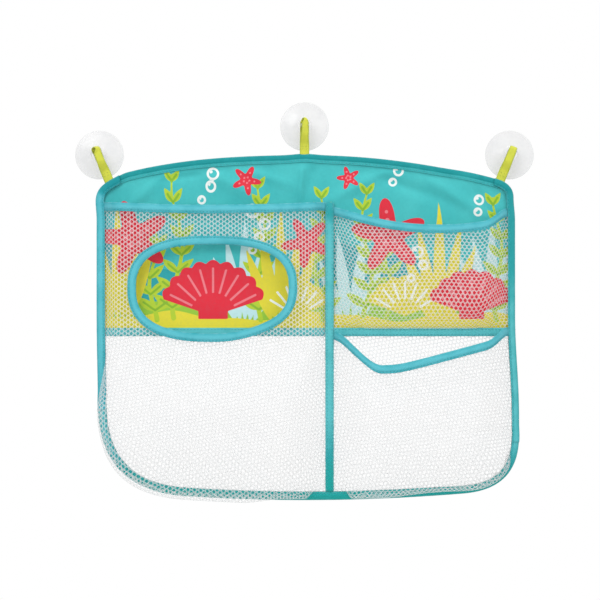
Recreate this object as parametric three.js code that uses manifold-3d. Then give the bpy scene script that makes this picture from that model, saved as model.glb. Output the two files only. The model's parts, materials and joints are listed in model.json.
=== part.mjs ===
// Hanging bath toy organizer: an upper back panel and a net lower back, three net pockets in front
// of them with bound edges, and three suction cups on ribbon loops along the arched top edge.
// Millimetres, +Z up. The wall is the plane y = 0, and the bag hangs in front of it, towards -Y.
// The origin is the middle of the centre suction cup, on the wall.
// Inside the bag group z runs up from the lowest point of its bottom edge, and "out" is the distance
// from the wall, so a place (x, out, z) lies at (x, -out, z).

import * as THREE from "three";
import { mergeVertices } from "three/addons/utils/BufferGeometryUtils.js";
import Module from "manifold-3d";

const wasm = await Module();
wasm.setup();

// Bag outline
const BAG_WIDTH = 418;
const BAG_HEIGHT = 345; // from the lowest point of the bottom edge to the crown of the top edge
const TOP_CROWN = 30; // height of the crown above the top corners
const BOTTOM_CROWN = 12; // depth of the bottom edge's middle below its corners
const TOP_CORNER = 18; // reach of each rounded corner along its two edges
const BOTTOM_CORNER = 52;

// Cloth, tapes and their fit
const CLOTH = 0.8; // thickness of panels and nets
const TAPE = 0.8; // thickness of flat tapes
const TAPE_WIDTH = 8.4;
const BINDING_WIDTH = 8.5; // a folded binding, seen from the front
const FOLD_WALL = 0.6; // one layer of a folded binding
const FIT = 0.3; // clearance between neighbouring layers
const SEAM_LEAD = 0.8; // a net starts to bulge this far from the tape that holds it
const TAPE_MARGIN = 1; // the upper right net ends this far above its base tape's lower edge

// Pocket layout: heights from the bag's lowest point, drops from the corners of the top edge
const DIVIDER_X = 25;
const WAIST_Z = 168;
const LEFT_RIM_DROP = 17.5;
const LEFT_RIM_SAG = 3;
const UPPER_RIM_DIVIDER_DROP = 22;
const UPPER_RIM_SIDE_DROP = 32;
const UPPER_RIM_SAG = 13;
const LOWER_RIM_DROOP = 29;

// Window in the left net: a rounded oval
const WINDOW_X = -92;
const WINDOW_DROP = 84.5; // from the rim to the middle of the window
const WINDOW_WIDTH = 152;
const WINDOW_HEIGHT = 84;
const WINDOW_ROUNDNESS = 2.6; // 2 is an ellipse, more is squarer

// How far the pockets stand out
const NET_RISE = 1.3; // a net rises from its seams over this many times its depth there
const LEFT_GAPE = 12;
const LEFT_BELLY = 36;
const LEFT_BELLY_Z = 85; // the belly is full up to here
const LEFT_FLAT_Z = 165; // and the net is flat from here up
const UPPER_GAPE = 17;
const UPPER_BELLY = 24;
const UPPER_BELLY_HEIGHT = 38; // from the base tape
const LOWER_GAPE = 24;
const LOWER_BELLY = 33;
const LOWER_BELLY_Z = 75;

// Net gaps, coarser than the real net
const NET_CELL = 22;
const BACK_NET_CELL = 28;
const STRAND = 4.4; // width of a net strand across a cell's edge
const CORNER_COLUMN = 8; // plain column beside a rounded corner

// Suction cups
const CUP_RADIUS = 24.5;
const CUP_SEAL = 7.5; // width of the flat ring that lies on the wall
const CUP_RIM = 0.9;
const CUP_HOLLOW = 2.4; // depth of the dish behind the cup
const CUP_DOME = 5.5; // height of the cup where its knob starts
const KNOB_CHEEK = 2.4; // thickness of the knob beside its slot
const KNOB_CAP = 1.2; // height of the knob in front of its cross bar
const KNOB_CHAMFER = 1;
const BAR_RADIUS = 2;
const BAR_GAP = 5.5; // between the cup's dome and the cross bar

// Ribbon loops
const RIBBON = 1;
const RIBBON_WIDTH = 9.4; // at the hem
const RIBBON_NECK = 8; // through the knob
const CUP_CLEAR = 3.5; // from the fold line at the hem to the cup's rim
const LOOP_TOP = 8; // from the cup's middle to the end of the loop
const LOOP_STUB = 9; // the two layers are sewn together up to here
const LOOP_LEAN = 22; // degrees that the outer loops lean outwards
const HEM_GAP = 0.4;

// Steps along curves
const EDGE_STEPS = 8;
const WINDOW_STEPS = 44;
const CUP_SEGMENTS = 28;
const CUP_STEPS = 4;
const BAR_SEGMENTS = 16;
const FOLD_STEPS = 8;
const SLOPE_STEP = 0.5; // distance over which a net's slope is measured
const SAME_POINT = 1e-5; // vertices nearer than this are one

// Distances from the wall
const BAG_OUT = 10; // middle of the back panels
const PANEL_BACK = BAG_OUT - CLOTH / 2;
const PANEL_FRONT = BAG_OUT + CLOTH / 2;
const NET_BACK = PANEL_FRONT + 2 * FIT + FOLD_WALL;
const NET_OUT = NET_BACK + CLOTH / 2;
const NET_FRONT = NET_BACK + CLOTH;
const TAPE_BACK = NET_FRONT + FIT;
const BINDING_BACK = PANEL_BACK - FIT - FOLD_WALL;
const BINDING_FRONT = NET_FRONT + FIT + FOLD_WALL;
const HEM_FRONT = PANEL_FRONT + FIT + FOLD_WALL;

// Distances in from an edge, and places worked out from the sizes above
const HALF_WIDTH = BAG_WIDTH / 2;
const SHOULDER_Z = BAG_HEIGHT - TOP_CROWN;
const EDGE_INSET = FOLD_WALL + FIT; // edge of the cloth inside its binding
const SEAM_INSET = BINDING_WIDTH + SEAM_LEAD; // where a net leaves its binding
const SIDE_TUCK = SEAM_INSET - EDGE_INSET;
const DIVIDER_SEAM = TAPE_WIDTH / 2 + SEAM_LEAD;
const DIVIDER_TUCK = DIVIDER_SEAM - FIT / 2;
const TAPE_BOTTOM = WAIST_Z - TAPE_WIDTH / 2;
const TAPE_TOP = WAIST_Z + TAPE_WIDTH / 2;
const LEFT_RIM_Z = SHOULDER_Z - LEFT_RIM_DROP;
const LOWER_RIM_Z = TAPE_BOTTOM - FIT;
const WINDOW_Z = LEFT_RIM_Z - WINDOW_DROP;
const SLOT_HALF = RIBBON_NECK / 2 + FIT;
const KNOB_RADIUS = SLOT_HALF + KNOB_CHEEK;
const BAR_OUT = CUP_DOME + BAR_GAP + BAR_RADIUS;
const KNOB_TOP = BAR_OUT + BAR_RADIUS + KNOB_CAP;
const LOOP_RISE = CUP_RADIUS + CUP_CLEAR; // from the fold line at the hem to the cup's middle
const STUB_RADIUS = RIBBON; // half of the two sewn layers

const clamp = THREE.MathUtils.clamp;
const lerp = THREE.MathUtils.lerp;
const smooth = (value, from, to) => {
  const share = clamp((value - from) / (to - from), 0, 1);
  return share * share * (3 - 2 * share);
};
const flat = (x, z) => new THREE.Vector2(x, z);
const place = (x, out, z) => new THREE.Vector3(x, -out, z);

// Solids: a closed geometry to a manifold and back
function solid(geometry) {
  const bare = geometry.clone();
  bare.deleteAttribute("normal");
  bare.deleteAttribute("uv");
  const merged = mergeVertices(bare, SAME_POINT);
  const vertProperties = new Float32Array(merged.attributes.position.array);
  const triVerts = new Uint32Array(merged.index.array);
  return new wasm.Manifold(new wasm.Mesh({ numProp: 3, vertProperties, triVerts }));
}

function geometryOf(manifold) {
  const mesh = manifold.getMesh();
  const geometry = new THREE.BufferGeometry();
  geometry.setAttribute("position", new THREE.BufferAttribute(mesh.vertProperties, 3));
  geometry.setIndex(new THREE.BufferAttribute(mesh.triVerts, 1));
  geometry.computeVertexNormals();
  return geometry;
}

function indexed(points, triangles) {
  const geometry = new THREE.BufferGeometry().setFromPoints(points);
  geometry.setIndex(triangles);
  geometry.computeVertexNormals();
  return geometry;
}

// A flat shape in (x, z) made into a plate between two distances from the wall
function plate(points, back, front) {
  const geometry = new THREE.ExtrudeGeometry(new THREE.Shape(points), {
    depth: front - back,
    bevelEnabled: false,
  });
  return geometry.translate(0, 0, back).rotateX(Math.PI / 2);
}

const strip = (x0, x1, z0, z1, back, front) =>
  plate([flat(x0, z0), flat(x1, z0), flat(x1, z1), flat(x0, z1)], back, front);

// A solid through a row of four-sided rings, either closed on itself or capped at both ends
function loft(rings, closed = false) {
  const sides = rings[0].length;
  const triangles = [];
  const spans = closed ? rings.length : rings.length - 1;
  for (let k = 0; k < spans; k++) {
    const next = (k + 1) % rings.length;
    for (let i = 0; i < sides; i++) {
      const a = k * sides + i;
      const b = k * sides + ((i + 1) % sides);
      const c = next * sides + ((i + 1) % sides);
      const d = next * sides + i;
      triangles.push(a, b, c, a, c, d);
    }
  }
  if (!closed) {
    const last = (rings.length - 1) * sides;
    triangles.push(0, 2, 1, 0, 3, 2, last, last + 1, last + 2, last, last + 2, last + 3);
  }
  return indexed(rings.flat(), triangles);
}

// Bag outline, travelled with the bag on the left: along the bottom, up the right, over and down
const archDrop = (x, crown) => {
  const radius = (HALF_WIDTH ** 2 + crown ** 2) / (2 * crown);
  return radius - Math.sqrt(radius ** 2 - x ** 2);
};
const topZ = (x) => BAG_HEIGHT - archDrop(x, TOP_CROWN);
const bottomZ = (x) => archDrop(x, BOTTOM_CROWN);
const mirrored = (points) => points.map((p) => flat(-p.x, p.y)).reverse();

function arc(height, reach, steps) {
  const points = [];
  for (let i = 0; i <= steps; i++) {
    const x = lerp(-reach, reach, i / steps);
    points.push(flat(x, height(x)));
  }
  return points;
}

function edgeLines() {
  const lowReach = HALF_WIDTH - BOTTOM_CORNER;
  const highReach = HALF_WIDTH - TOP_CORNER;
  const sideFoot = flat(HALF_WIDTH, BOTTOM_CROWN + BOTTOM_CORNER);
  const sideHead = flat(HALF_WIDTH, SHOULDER_Z - TOP_CORNER);
  const lowStart = flat(lowReach, bottomZ(lowReach));
  const highEnd = flat(highReach, topZ(highReach));
  const lowCorner = new THREE.QuadraticBezierCurve(lowStart, flat(HALF_WIDTH, BOTTOM_CROWN), sideFoot);
  const highCorner = new THREE.QuadraticBezierCurve(sideHead, flat(HALF_WIDTH, SHOULDER_Z), highEnd);
  const lowRight = lowCorner.getPoints(EDGE_STEPS);
  const bottom = [...mirrored(lowRight), ...arc(bottomZ, lowReach, EDGE_STEPS).slice(1, -1), ...lowRight];
  const right = [sideFoot, ...highCorner.getPoints(EDGE_STEPS)];
  const top = arc(topZ, highReach, 2 * EDGE_STEPS).reverse();
  return { bottom, right, top, left: mirrored(right) };
}

const EDGES = edgeLines();
const OUTLINE = [EDGES.bottom, EDGES.right, EDGES.top, EDGES.left].flatMap((line) => line.slice(0, -1));

// The inward normal at each point of a line, from the directions to its neighbours
function inwardNormals(points, closed) {
  const count = points.length;
  return points.map((p, i) => {
    const before = closed ? points[(i + count - 1) % count] : points[Math.max(i - 1, 0)];
    const after = closed ? points[(i + 1) % count] : points[Math.min(i + 1, count - 1)];
    const along = after.clone().sub(before).normalize();
    return flat(-along.y, along.x);
  });
}

function inset(points, distance, closed = false) {
  const normals = inwardNormals(points, closed);
  return points.map((p, i) => p.clone().addScaledVector(normals[i], distance));
}

// A line shortened at both ends, so that neighbouring bindings keep their clearance
function shortened(points, cut) {
  const line = points.map((p) => p.clone());
  const pull = (end, next) => end.add(next.clone().sub(end).setLength(cut));
  pull(line[0], line[1]);
  pull(line.at(-1), line.at(-2));
  return line;
}

// A strip that follows one edge of the outline, as wide as a binding
const BINDING_LINE = inset(OUTLINE, BINDING_WIDTH, true);

function band(line, back, front) {
  const start = OUTLINE.indexOf(line[0]);
  const stretch = (ring) => line.map((_, i) => ring[(start + i) % ring.length]);
  const outer = shortened(stretch(OUTLINE), FIT / 2);
  const inner = shortened(stretch(BINDING_LINE), FIT / 2);
  return loft(
    outer.map((p, i) => [
      place(inner[i].x, back, inner[i].y),
      place(inner[i].x, front, inner[i].y),
      place(p.x, front, p.y),
      place(p.x, back, p.y),
    ]),
  );
}

// Height of a left-to-right line at x
function heightAt(line, x) {
  const i = clamp(line.findIndex((p) => p.x >= x), 1, line.length - 1);
  const share = clamp((x - line[i - 1].x) / (line[i].x - line[i - 1].x), 0, 1);
  return lerp(line[i - 1].y, line[i].y, share);
}

// Pockets: each has its seams, its rim's top edge and its depth
const bottomSeamLine = inset(EDGES.bottom, SEAM_INSET);
const bottomSeam = (x) => heightAt(bottomSeamLine, x);
const sideSeam = { x: HALF_WIDTH - SEAM_INSET, tuck: SIDE_TUCK, round: true };
const leftSide = { ...sideSeam, x: -sideSeam.x };
const dividerLeft = { x: DIVIDER_X - DIVIDER_SEAM, tuck: DIVIDER_TUCK };
const dividerRight = { x: DIVIDER_X + DIVIDER_SEAM, tuck: DIVIDER_TUCK };
const rightShare = (x) => clamp((x - dividerRight.x) / (sideSeam.x - dividerRight.x), 0, 1);
const leftShare = (x) => clamp((x - leftSide.x) / (dividerLeft.x - leftSide.x), 0, 1);
const sag = (share, depth) => 4 * depth * share * (1 - share);
const lopsidedSag = (share, depth) => 6.75 * depth * share * (1 - share) ** 2; // lowest a third along

const LEFT_POCKET = {
  left: leftSide,
  right: dividerLeft,
  bottom: bottomSeam,
  bottomTuck: SIDE_TUCK,
  rim: (x) => LEFT_RIM_Z - sag(leftShare(x), LEFT_RIM_SAG),
  depth: (z) => lerp(LEFT_BELLY, LEFT_GAPE, smooth(z, LEFT_BELLY_Z, LEFT_FLAT_Z)),
};
const UPPER_POCKET = {
  left: dividerRight,
  right: { ...sideSeam, round: false },
  bottom: () => TAPE_TOP + SEAM_LEAD,
  bottomTuck: TAPE_WIDTH - TAPE_MARGIN + SEAM_LEAD,
  rim: (x) => {
    const drop = lerp(UPPER_RIM_DIVIDER_DROP, UPPER_RIM_SIDE_DROP, rightShare(x));
    return SHOULDER_Z - drop - sag(rightShare(x), UPPER_RIM_SAG);
  },
  depth: (z) => {
    const flatZ = SHOULDER_Z - UPPER_RIM_SIDE_DROP - UPPER_RIM_SAG;
    return lerp(UPPER_BELLY, UPPER_GAPE, smooth(z, TAPE_TOP + UPPER_BELLY_HEIGHT, flatZ));
  },
};
const LOWER_POCKET = {
  left: dividerRight,
  right: sideSeam,
  bottom: bottomSeam,
  bottomTuck: SIDE_TUCK,
  rim: (x) => LOWER_RIM_Z - lopsidedSag(rightShare(x), LOWER_RIM_DROOP),
  depth: (z) => lerp(LOWER_BELLY, LOWER_GAPE, smooth(z, LOWER_BELLY_Z, LOWER_RIM_Z - LOWER_RIM_DROOP)),
};

// Distance of a pocket's net from the wall: it rises from its side and bottom seams like a quarter wave
function netOut(pocket, x, z) {
  const depth = pocket.depth(z);
  const rise = NET_RISE * depth;
  const wave = (distance) => Math.sin((Math.PI / 2) * clamp(distance / rise, 0, 1));
  const sides = wave(x - pocket.left.x) * wave(pocket.right.x - x);
  return NET_OUT + depth * sides * wave(z - pocket.bottom(x));
}

// Column places across a pocket: even cells, with a plain column beside each rounded corner
function columnPlaces(left, right, cell) {
  const start = left.x + (left.round ? CORNER_COLUMN : 0);
  const end = right.x - (right.round ? CORNER_COLUMN : 0);
  const count = Math.round((end - start) / cell);
  const columns = [];
  for (let i = 0; i <= count; i++) columns.push(lerp(start, end, i / count));
  if (left.round) columns.unshift(left.x);
  if (right.round) columns.push(right.x);
  return columns;
}

// Grid of (x, z) places of a net, with a border all round that goes into the bindings.
// grow widens the border, for the slot that the binding gets.
function netGrid({ left, right, bottom, bottomTuck, top, topTuck }, cell, grow = 0) {
  const columns = columnPlaces(left, right, cell);
  const tallest = Math.max(...columns.map((x) => top(x) - bottom(x)));
  const count = Math.round(tallest / cell);
  const foot = columns.map((x) => flat(x, bottom(x)));
  const footNormals = inwardNormals(foot, false);
  const under = foot.map((p, i) => p.clone().addScaledVector(footNormals[i], -bottomTuck - grow));
  const rows = [under];
  for (let j = 0; j <= count; j++) {
    rows.push(columns.map((x, i) => flat(x, lerp(foot[i].y, top(x), j / count))));
  }
  rows.push(columns.map((x) => flat(x, top(x) + topTuck + grow)));
  return rows.map((row, j) => {
    const corner = j === 0;
    const before = besideRow(row[0], flat(-left.tuck - grow, 0), corner && left.round, foot[0]);
    const after = besideRow(row.at(-1), flat(right.tuck + grow, 0), corner && right.round, foot.at(-1));
    return [before, ...row, after];
  });
}

// The border place beside a row's end. At a rounded corner it turns about the corner's seam point.
function besideRow(end, out, round, pivot) {
  if (!round) return end.clone().add(out);
  const arm = end.clone().sub(pivot);
  return arm.clone().add(out).setLength(arm.length()).add(pivot);
}

// The direction straight out of a bulged surface at (x, z), as a vector of the given length
function outward(outAt, x, z, length) {
  const slopeX = (outAt(x + SLOPE_STEP, z) - outAt(x - SLOPE_STEP, z)) / (2 * SLOPE_STEP);
  const slopeZ = (outAt(x, z + SLOPE_STEP) - outAt(x, z - SLOPE_STEP)) / (2 * SLOPE_STEP);
  return new THREE.Vector3(-slopeX, -1, -slopeZ).setLength(length);
}

// A sheet of cloth over a grid of places. isOpen(column, row) says which cells have a diamond gap.
function sheet(grid, outAt, thickness, isOpen = () => false) {
  const points = [];
  const triangles = [];
  const add = ({ x, y: z }) => {
    const normal = outward(outAt, x, z, thickness / 2);
    const middle = place(x, outAt(x, z), z);
    points.push(middle.clone().add(normal), middle.sub(normal));
    return points.length - 2;
  };
  const corner = grid.map((row) => row.map(add));
  for (let j = 0; j + 1 < grid.length; j++) {
    for (let i = 0; i + 1 < grid[j].length; i++) {
      const ring = [corner[j][i], corner[j][i + 1], corner[j + 1][i + 1], corner[j + 1][i]];
      const [a, b, c, d] = ring;
      if (isOpen(i, j)) {
        const gap = diamond([grid[j][i], grid[j][i + 1], grid[j + 1][i + 1], grid[j + 1][i]]).map(add);
        for (let k = 0; k < 4; k++) {
          const next = (k + 1) % 4;
          triangles.push([ring[k], ring[next], gap[k]], [ring[next], gap[next], gap[k]]);
        }
      } else {
        triangles.push([a, b, c], [a, c, d]);
      }
    }
  }
  return thickened(points, triangles);
}

// Middles of a cell's four sides, drawn in by half a strand
function diamond(cell) {
  const middle = cell[0].clone().add(cell[1]).add(cell[2]).add(cell[3]).multiplyScalar(1 / 4);
  return cell.map((p, k) => {
    const side = p.clone().lerp(cell[(k + 1) % 4], 0.5);
    return side.add(middle.clone().sub(side).setLength(STRAND / 2));
  });
}

// Front triangles on even points, their copies on the odd points behind, and walls along every free edge
function thickened(points, front) {
  const edges = new Map();
  const key = (a, b) => a * points.length + b;
  const all = [];
  for (const [a, b, c] of front) {
    all.push(a, b, c, a + 1, c + 1, b + 1);
    for (const [p, q] of [[a, b], [b, c], [c, a]]) edges.set(key(p, q), [p, q]);
  }
  for (const [p, q] of edges.values()) {
    if (!edges.has(key(q, p))) all.push(q, p, p + 1, q, p + 1, q + 1);
  }
  return indexed(points, all);
}

// Nets
const pocketGrid = (pocket, grow) =>
  netGrid(
    {
      ...pocket,
      top: (x) => pocket.rim(x) - SEAM_INSET,
      topTuck: SIDE_TUCK,
    },
    NET_CELL,
    grow,
  );
const outOf = (pocket) => (x, z) => netOut(pocket, x, z);

// A cell takes a gap unless it lies in the border, in a narrow corner column or under the window's binding
function gapTest(grid, keepOut = () => false) {
  return (i, j) => {
    const cell = [grid[j][i], grid[j][i + 1], grid[j + 1][i + 1], grid[j + 1][i]];
    const border = i === 0 || j === 0 || i === grid[j].length - 2 || j === grid.length - 2;
    const narrow = Math.abs(cell[1].x - cell[0].x) < CORNER_COLUMN + FIT;
    return !border && !narrow && !cell.some(keepOut);
  };
}

function pocketNet(pocket, keepOut) {
  const grid = pocketGrid(pocket, 0);
  return sheet(grid, outOf(pocket), CLOTH, gapTest(grid, keepOut));
}

// The space that a pocket's net needs inside its bindings
const netSlot = (pocket) => solid(sheet(pocketGrid(pocket, FIT), outOf(pocket), CLOTH + 2 * FIT));

// Window
const power = (value) => Math.sign(value) * Math.abs(value) ** (2 / WINDOW_ROUNDNESS);
function windowPoint(angle, grow) {
  const across = WINDOW_WIDTH / 2 + grow;
  const up = WINDOW_HEIGHT / 2 + grow;
  return flat(WINDOW_X + across * power(Math.cos(angle)), WINDOW_Z + up * power(Math.sin(angle)));
}

function windowLine(grow) {
  const points = [];
  for (let k = 0; k < WINDOW_STEPS; k++) points.push(windowPoint((2 * Math.PI * k) / WINDOW_STEPS, grow));
  return points;
}

function underWindowBinding({ x, y: z }) {
  const across = Math.abs(x - WINDOW_X) / (WINDOW_WIDTH / 2 + BINDING_WIDTH + STRAND / 2);
  const up = Math.abs(z - WINDOW_Z) / (WINDOW_HEIGHT / 2 + BINDING_WIDTH + STRAND / 2);
  return across ** WINDOW_ROUNDNESS + up ** WINDOW_ROUNDNESS < 1;
}

const windowCut = (grow) => solid(plate(windowLine(grow), 0, NET_FRONT + LEFT_BELLY));

function leftNet() {
  return geometryOf(solid(pocketNet(LEFT_POCKET, underWindowBinding)).subtract(windowCut(EDGE_INSET)));
}

// Folded bindings
const FOLD_HALF = CLOTH / 2 + FIT + FOLD_WALL;

// A four-cornered section across a net's surface, from one place on it to another
function section(pocket, from, to) {
  const outAt = outOf(pocket);
  const middle = from.clone().lerp(to, 0.5);
  const normal = outward(outAt, middle.x, middle.y, FOLD_HALF);
  const a = place(from.x, outAt(from.x, from.y), from.y);
  const b = place(to.x, outAt(to.x, to.y), to.y);
  return [a.clone().sub(normal), a.clone().add(normal), b.clone().add(normal), b.clone().sub(normal)];
}

function pocketRim(pocket) {
  const columns = pocketGrid(pocket, 0)[1].slice(1, -1).map((p) => p.x);
  const rings = columns.map((x) => {
    const top = pocket.rim(x);
    return section(pocket, flat(x, top), flat(x, top - BINDING_WIDTH));
  });
  return geometryOf(solid(loft(rings)).subtract(netSlot(pocket)));
}

function windowBinding() {
  const inner = windowLine(0);
  const outer = windowLine(BINDING_WIDTH);
  const rings = inner.map((p, k) => section(LEFT_POCKET, p, outer[k]));
  const slot = netSlot(LEFT_POCKET).subtract(windowCut(EDGE_INSET - FIT));
  return geometryOf(solid(loft(rings, true)).subtract(slot));
}

const panelSlot = () =>
  solid(plate(inset(OUTLINE, EDGE_INSET - FIT, true), PANEL_BACK - FIT, PANEL_FRONT + FIT));
const waistSlot = () => {
  const reach = HALF_WIDTH - EDGE_INSET + FIT;
  return solid(strip(-reach, reach, TAPE_BOTTOM - FIT, TAPE_TOP + FIT, PANEL_BACK - FIT, NET_BACK));
};

function edgeBinding(line, pockets) {
  let made = solid(band(line, BINDING_BACK, BINDING_FRONT)).subtract(panelSlot()).subtract(waistSlot());
  for (const pocket of pockets) made = made.subtract(netSlot(pocket));
  return geometryOf(made);
}

const topBinding = () => geometryOf(solid(band(EDGES.top, BINDING_BACK, HEM_FRONT)).subtract(panelSlot()));

// Back of the bag
function upperBackPanel() {
  const whole = solid(plate(inset(OUTLINE, EDGE_INSET, true), PANEL_BACK, PANEL_FRONT));
  const above = strip(-BAG_WIDTH, BAG_WIDTH, TAPE_TOP + FIT, 2 * BAG_HEIGHT, 0, BINDING_FRONT);
  return geometryOf(whole.intersect(solid(above)));
}

function lowerBackNet() {
  const grid = netGrid(
    {
      left: leftSide,
      right: sideSeam,
      bottom: bottomSeam,
      bottomTuck: SIDE_TUCK,
      top: () => TAPE_BOTTOM - SEAM_LEAD,
      topTuck: SEAM_LEAD - FIT,
    },
    BACK_NET_CELL,
  );
  return sheet(grid, () => BAG_OUT, CLOTH, gapTest(grid));
}

function waistBand() {
  const reach = HALF_WIDTH - EDGE_INSET;
  return strip(-reach, reach, TAPE_BOTTOM, TAPE_TOP, PANEL_BACK, NET_BACK - FIT);
}

function dividerTape() {
  const foot = bottomZ(DIVIDER_X) + BINDING_WIDTH + FIT;
  const half = TAPE_WIDTH / 2;
  return strip(DIVIDER_X - half, DIVIDER_X + half, foot, LEFT_RIM_Z, TAPE_BACK, TAPE_BACK + TAPE);
}

function upperBaseTape() {
  const start = DIVIDER_X + TAPE_WIDTH / 2 + FIT;
  const end = HALF_WIDTH - BINDING_WIDTH - FIT;
  return strip(start, end, TAPE_BOTTOM, TAPE_TOP, TAPE_BACK, TAPE_BACK + TAPE);
}

// Suction cup about its own axis, with its sealing ring on the wall and a slotted knob with a cross bar
function suctionCup() {
  const profile = new THREE.Path();
  profile.moveTo(0, CUP_HOLLOW);
  profile.quadraticCurveTo(CUP_RADIUS / 2, CUP_HOLLOW, CUP_RADIUS - CUP_SEAL, 0);
  profile.lineTo(CUP_RADIUS, 0);
  profile.lineTo(CUP_RADIUS, CUP_RIM);
  profile.quadraticCurveTo(CUP_RADIUS / 2, CUP_DOME / 2, KNOB_RADIUS, CUP_DOME);
  profile.lineTo(KNOB_RADIUS, KNOB_TOP - KNOB_CHAMFER);
  profile.lineTo(KNOB_RADIUS - KNOB_CHAMFER, KNOB_TOP);
  profile.lineTo(0, KNOB_TOP);
  const turned = new THREE.LatheGeometry(profile.getPoints(CUP_STEPS), CUP_SEGMENTS).rotateX(Math.PI);
  const slotFront = KNOB_TOP + KNOB_CAP;
  const slot = strip(-SLOT_HALF, SLOT_HALF, -CUP_RADIUS, CUP_RADIUS, CUP_DOME + FIT, slotFront);
  const barLength = 2 * (KNOB_RADIUS - KNOB_CHAMFER);
  const bar = new THREE.CylinderGeometry(BAR_RADIUS, BAR_RADIUS, barLength, BAR_SEGMENTS);
  bar.rotateZ(Math.PI / 2).translate(0, -BAR_OUT, 0);
  return geometryOf(solid(turned).subtract(solid(slot)).add(solid(bar)));
}

// Ribbon loop about its fold line at the hem: seen from the side, two layers that part around the cross bar
function loopSide() {
  const bar = BAR_OUT - BAG_OUT;
  const inner = BAR_RADIUS + FIT;
  const outer = inner + RIBBON;
  const turn = LOOP_RISE + LOOP_TOP - outer; // height of the end fold's middle
  const parting = LOOP_RISE - KNOB_RADIUS; // above this the layers run straight
  const shape = new THREE.Shape();
  shape.moveTo(STUB_RADIUS, 0);
  shape.lineTo(STUB_RADIUS, LOOP_STUB - RIBBON);
  shape.lineTo(bar + outer, parting);
  shape.absarc(bar, turn, outer, 0, Math.PI, false);
  shape.lineTo(bar - outer, parting);
  shape.lineTo(-STUB_RADIUS, LOOP_STUB - RIBBON);
  shape.absarc(0, 0, STUB_RADIUS, Math.PI, 2 * Math.PI, false);
  const eye = new THREE.Path();
  eye.moveTo(0, LOOP_STUB);
  eye.lineTo(bar + inner, parting);
  eye.absarc(bar, turn, inner, 0, Math.PI, false);
  eye.lineTo(bar - inner, parting);
  shape.holes.push(eye);
  return shape;
}

function ribbonLoop() {
  const side = new THREE.ExtrudeGeometry(loopSide(), {
    depth: RIBBON_WIDTH,
    bevelEnabled: false,
    curveSegments: FOLD_STEPS,
  });
  side.translate(0, 0, -RIBBON_WIDTH / 2);
  side.applyMatrix4(
    new THREE.Matrix4().makeBasis(
      new THREE.Vector3(0, -1, 0),
      new THREE.Vector3(0, 0, 1),
      new THREE.Vector3(-1, 0, 0),
    ),
  );
  const wide = RIBBON_WIDTH / 2;
  const narrow = RIBBON_NECK / 2;
  const end = LOOP_RISE + LOOP_TOP;
  const knobReach = Math.hypot(BAR_OUT - CUP_DOME, KNOB_RADIUS); // of the turning knob, from its cross bar
  const half = [
    flat(wide, -RIBBON_WIDTH),
    flat(wide, LOOP_STUB),
    flat(narrow, LOOP_RISE - knobReach),
    flat(narrow, end - narrow),
    flat(narrow / 2, end + RIBBON),
  ];
  const face = plate([...half, ...mirrored(half)], -KNOB_TOP, KNOB_TOP);
  return geometryOf(solid(side).intersect(solid(face)));
}

// Where a loop stands: the point of the top edge whose outward normal leans by the given angle
function hemPoint(lean) {
  const line = [...EDGES.right.slice(1), ...EDGES.top.slice(1), ...EDGES.left.slice(1, -1)];
  const normals = inwardNormals(line, false);
  const wanted = flat(Math.sin(lean), Math.cos(lean));
  let best = 1;
  for (let i = 1; i + 1 < line.length; i++) {
    if (normals[i].dot(wanted) < normals[best].dot(wanted)) best = i;
  }
  return line[best].clone().addScaledVector(wanted, STUB_RADIUS + HEM_GAP);
}

// Finishes
const finish = (color, roughness, extra = {}) =>
  new THREE.MeshStandardMaterial({ color, roughness, metalness: 0, ...extra });
const PRINT = finish(0x47beb9, 0.75);
const HEM = finish(0x1c98a3, 0.7);
const BINDING = finish(0x4ab4c0, 0.7);
const NET = finish(0xf3f4f2, 0.8);
const LIME = finish(0xccd63a, 0.65);
const CLEAR = finish(0xeef1f2, 0.2, { transparent: true, opacity: 0.45 });

function mesh(name, geometry, material) {
  const made = new THREE.Mesh(geometry, material);
  made.name = name;
  return made;
}

// Assembly
const bag = new THREE.Group();
bag.add(
  mesh("upper_back_panel", upperBackPanel(), PRINT),
  mesh("lower_back_net", lowerBackNet(), NET),
  mesh("waist_band", waistBand(), BINDING),
  mesh("top_binding", topBinding(), HEM),
  mesh("left_binding", edgeBinding(EDGES.left, [LEFT_POCKET]), BINDING),
  mesh("right_binding", edgeBinding(EDGES.right, [UPPER_POCKET, LOWER_POCKET]), BINDING),
  mesh("bottom_binding", edgeBinding(EDGES.bottom, [LEFT_POCKET, LOWER_POCKET]), BINDING),
  mesh("divider_tape", dividerTape(), BINDING),
  mesh("left_pocket_net", leftNet(), NET),
  mesh("left_pocket_rim", pocketRim(LEFT_POCKET), BINDING),
  mesh("window_binding", windowBinding(), BINDING),
  mesh("upper_pocket_net", pocketNet(UPPER_POCKET), NET),
  mesh("upper_pocket_rim", pocketRim(UPPER_POCKET), BINDING),
  mesh("upper_pocket_base_tape", upperBaseTape(), BINDING),
  mesh("lower_pocket_net", pocketNet(LOWER_POCKET), NET),
  mesh("lower_pocket_rim", pocketRim(LOWER_POCKET), BINDING),
);

for (const [side, turn] of [["left", -1], ["centre", 0], ["right", 1]]) {
  const lean = THREE.MathUtils.degToRad(turn * LOOP_LEAN);
  const foot = hemPoint(lean);
  const hanger = new THREE.Group();
  hanger.position.copy(place(foot.x, BAG_OUT, foot.y));
  hanger.rotation.y = lean;
  const cup = mesh(`${side}_suction_cup`, suctionCup(), CLEAR);
  cup.position.set(0, BAG_OUT, LOOP_RISE);
  hanger.add(mesh(`${side}_loop`, ribbonLoop(), LIME), cup);
  bag.add(hanger);
}
bag.position.z = -(BAG_HEIGHT + STUB_RADIUS + HEM_GAP + LOOP_RISE);

const organizer = new THREE.Group();
organizer.add(bag);

export default organizer;
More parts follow.
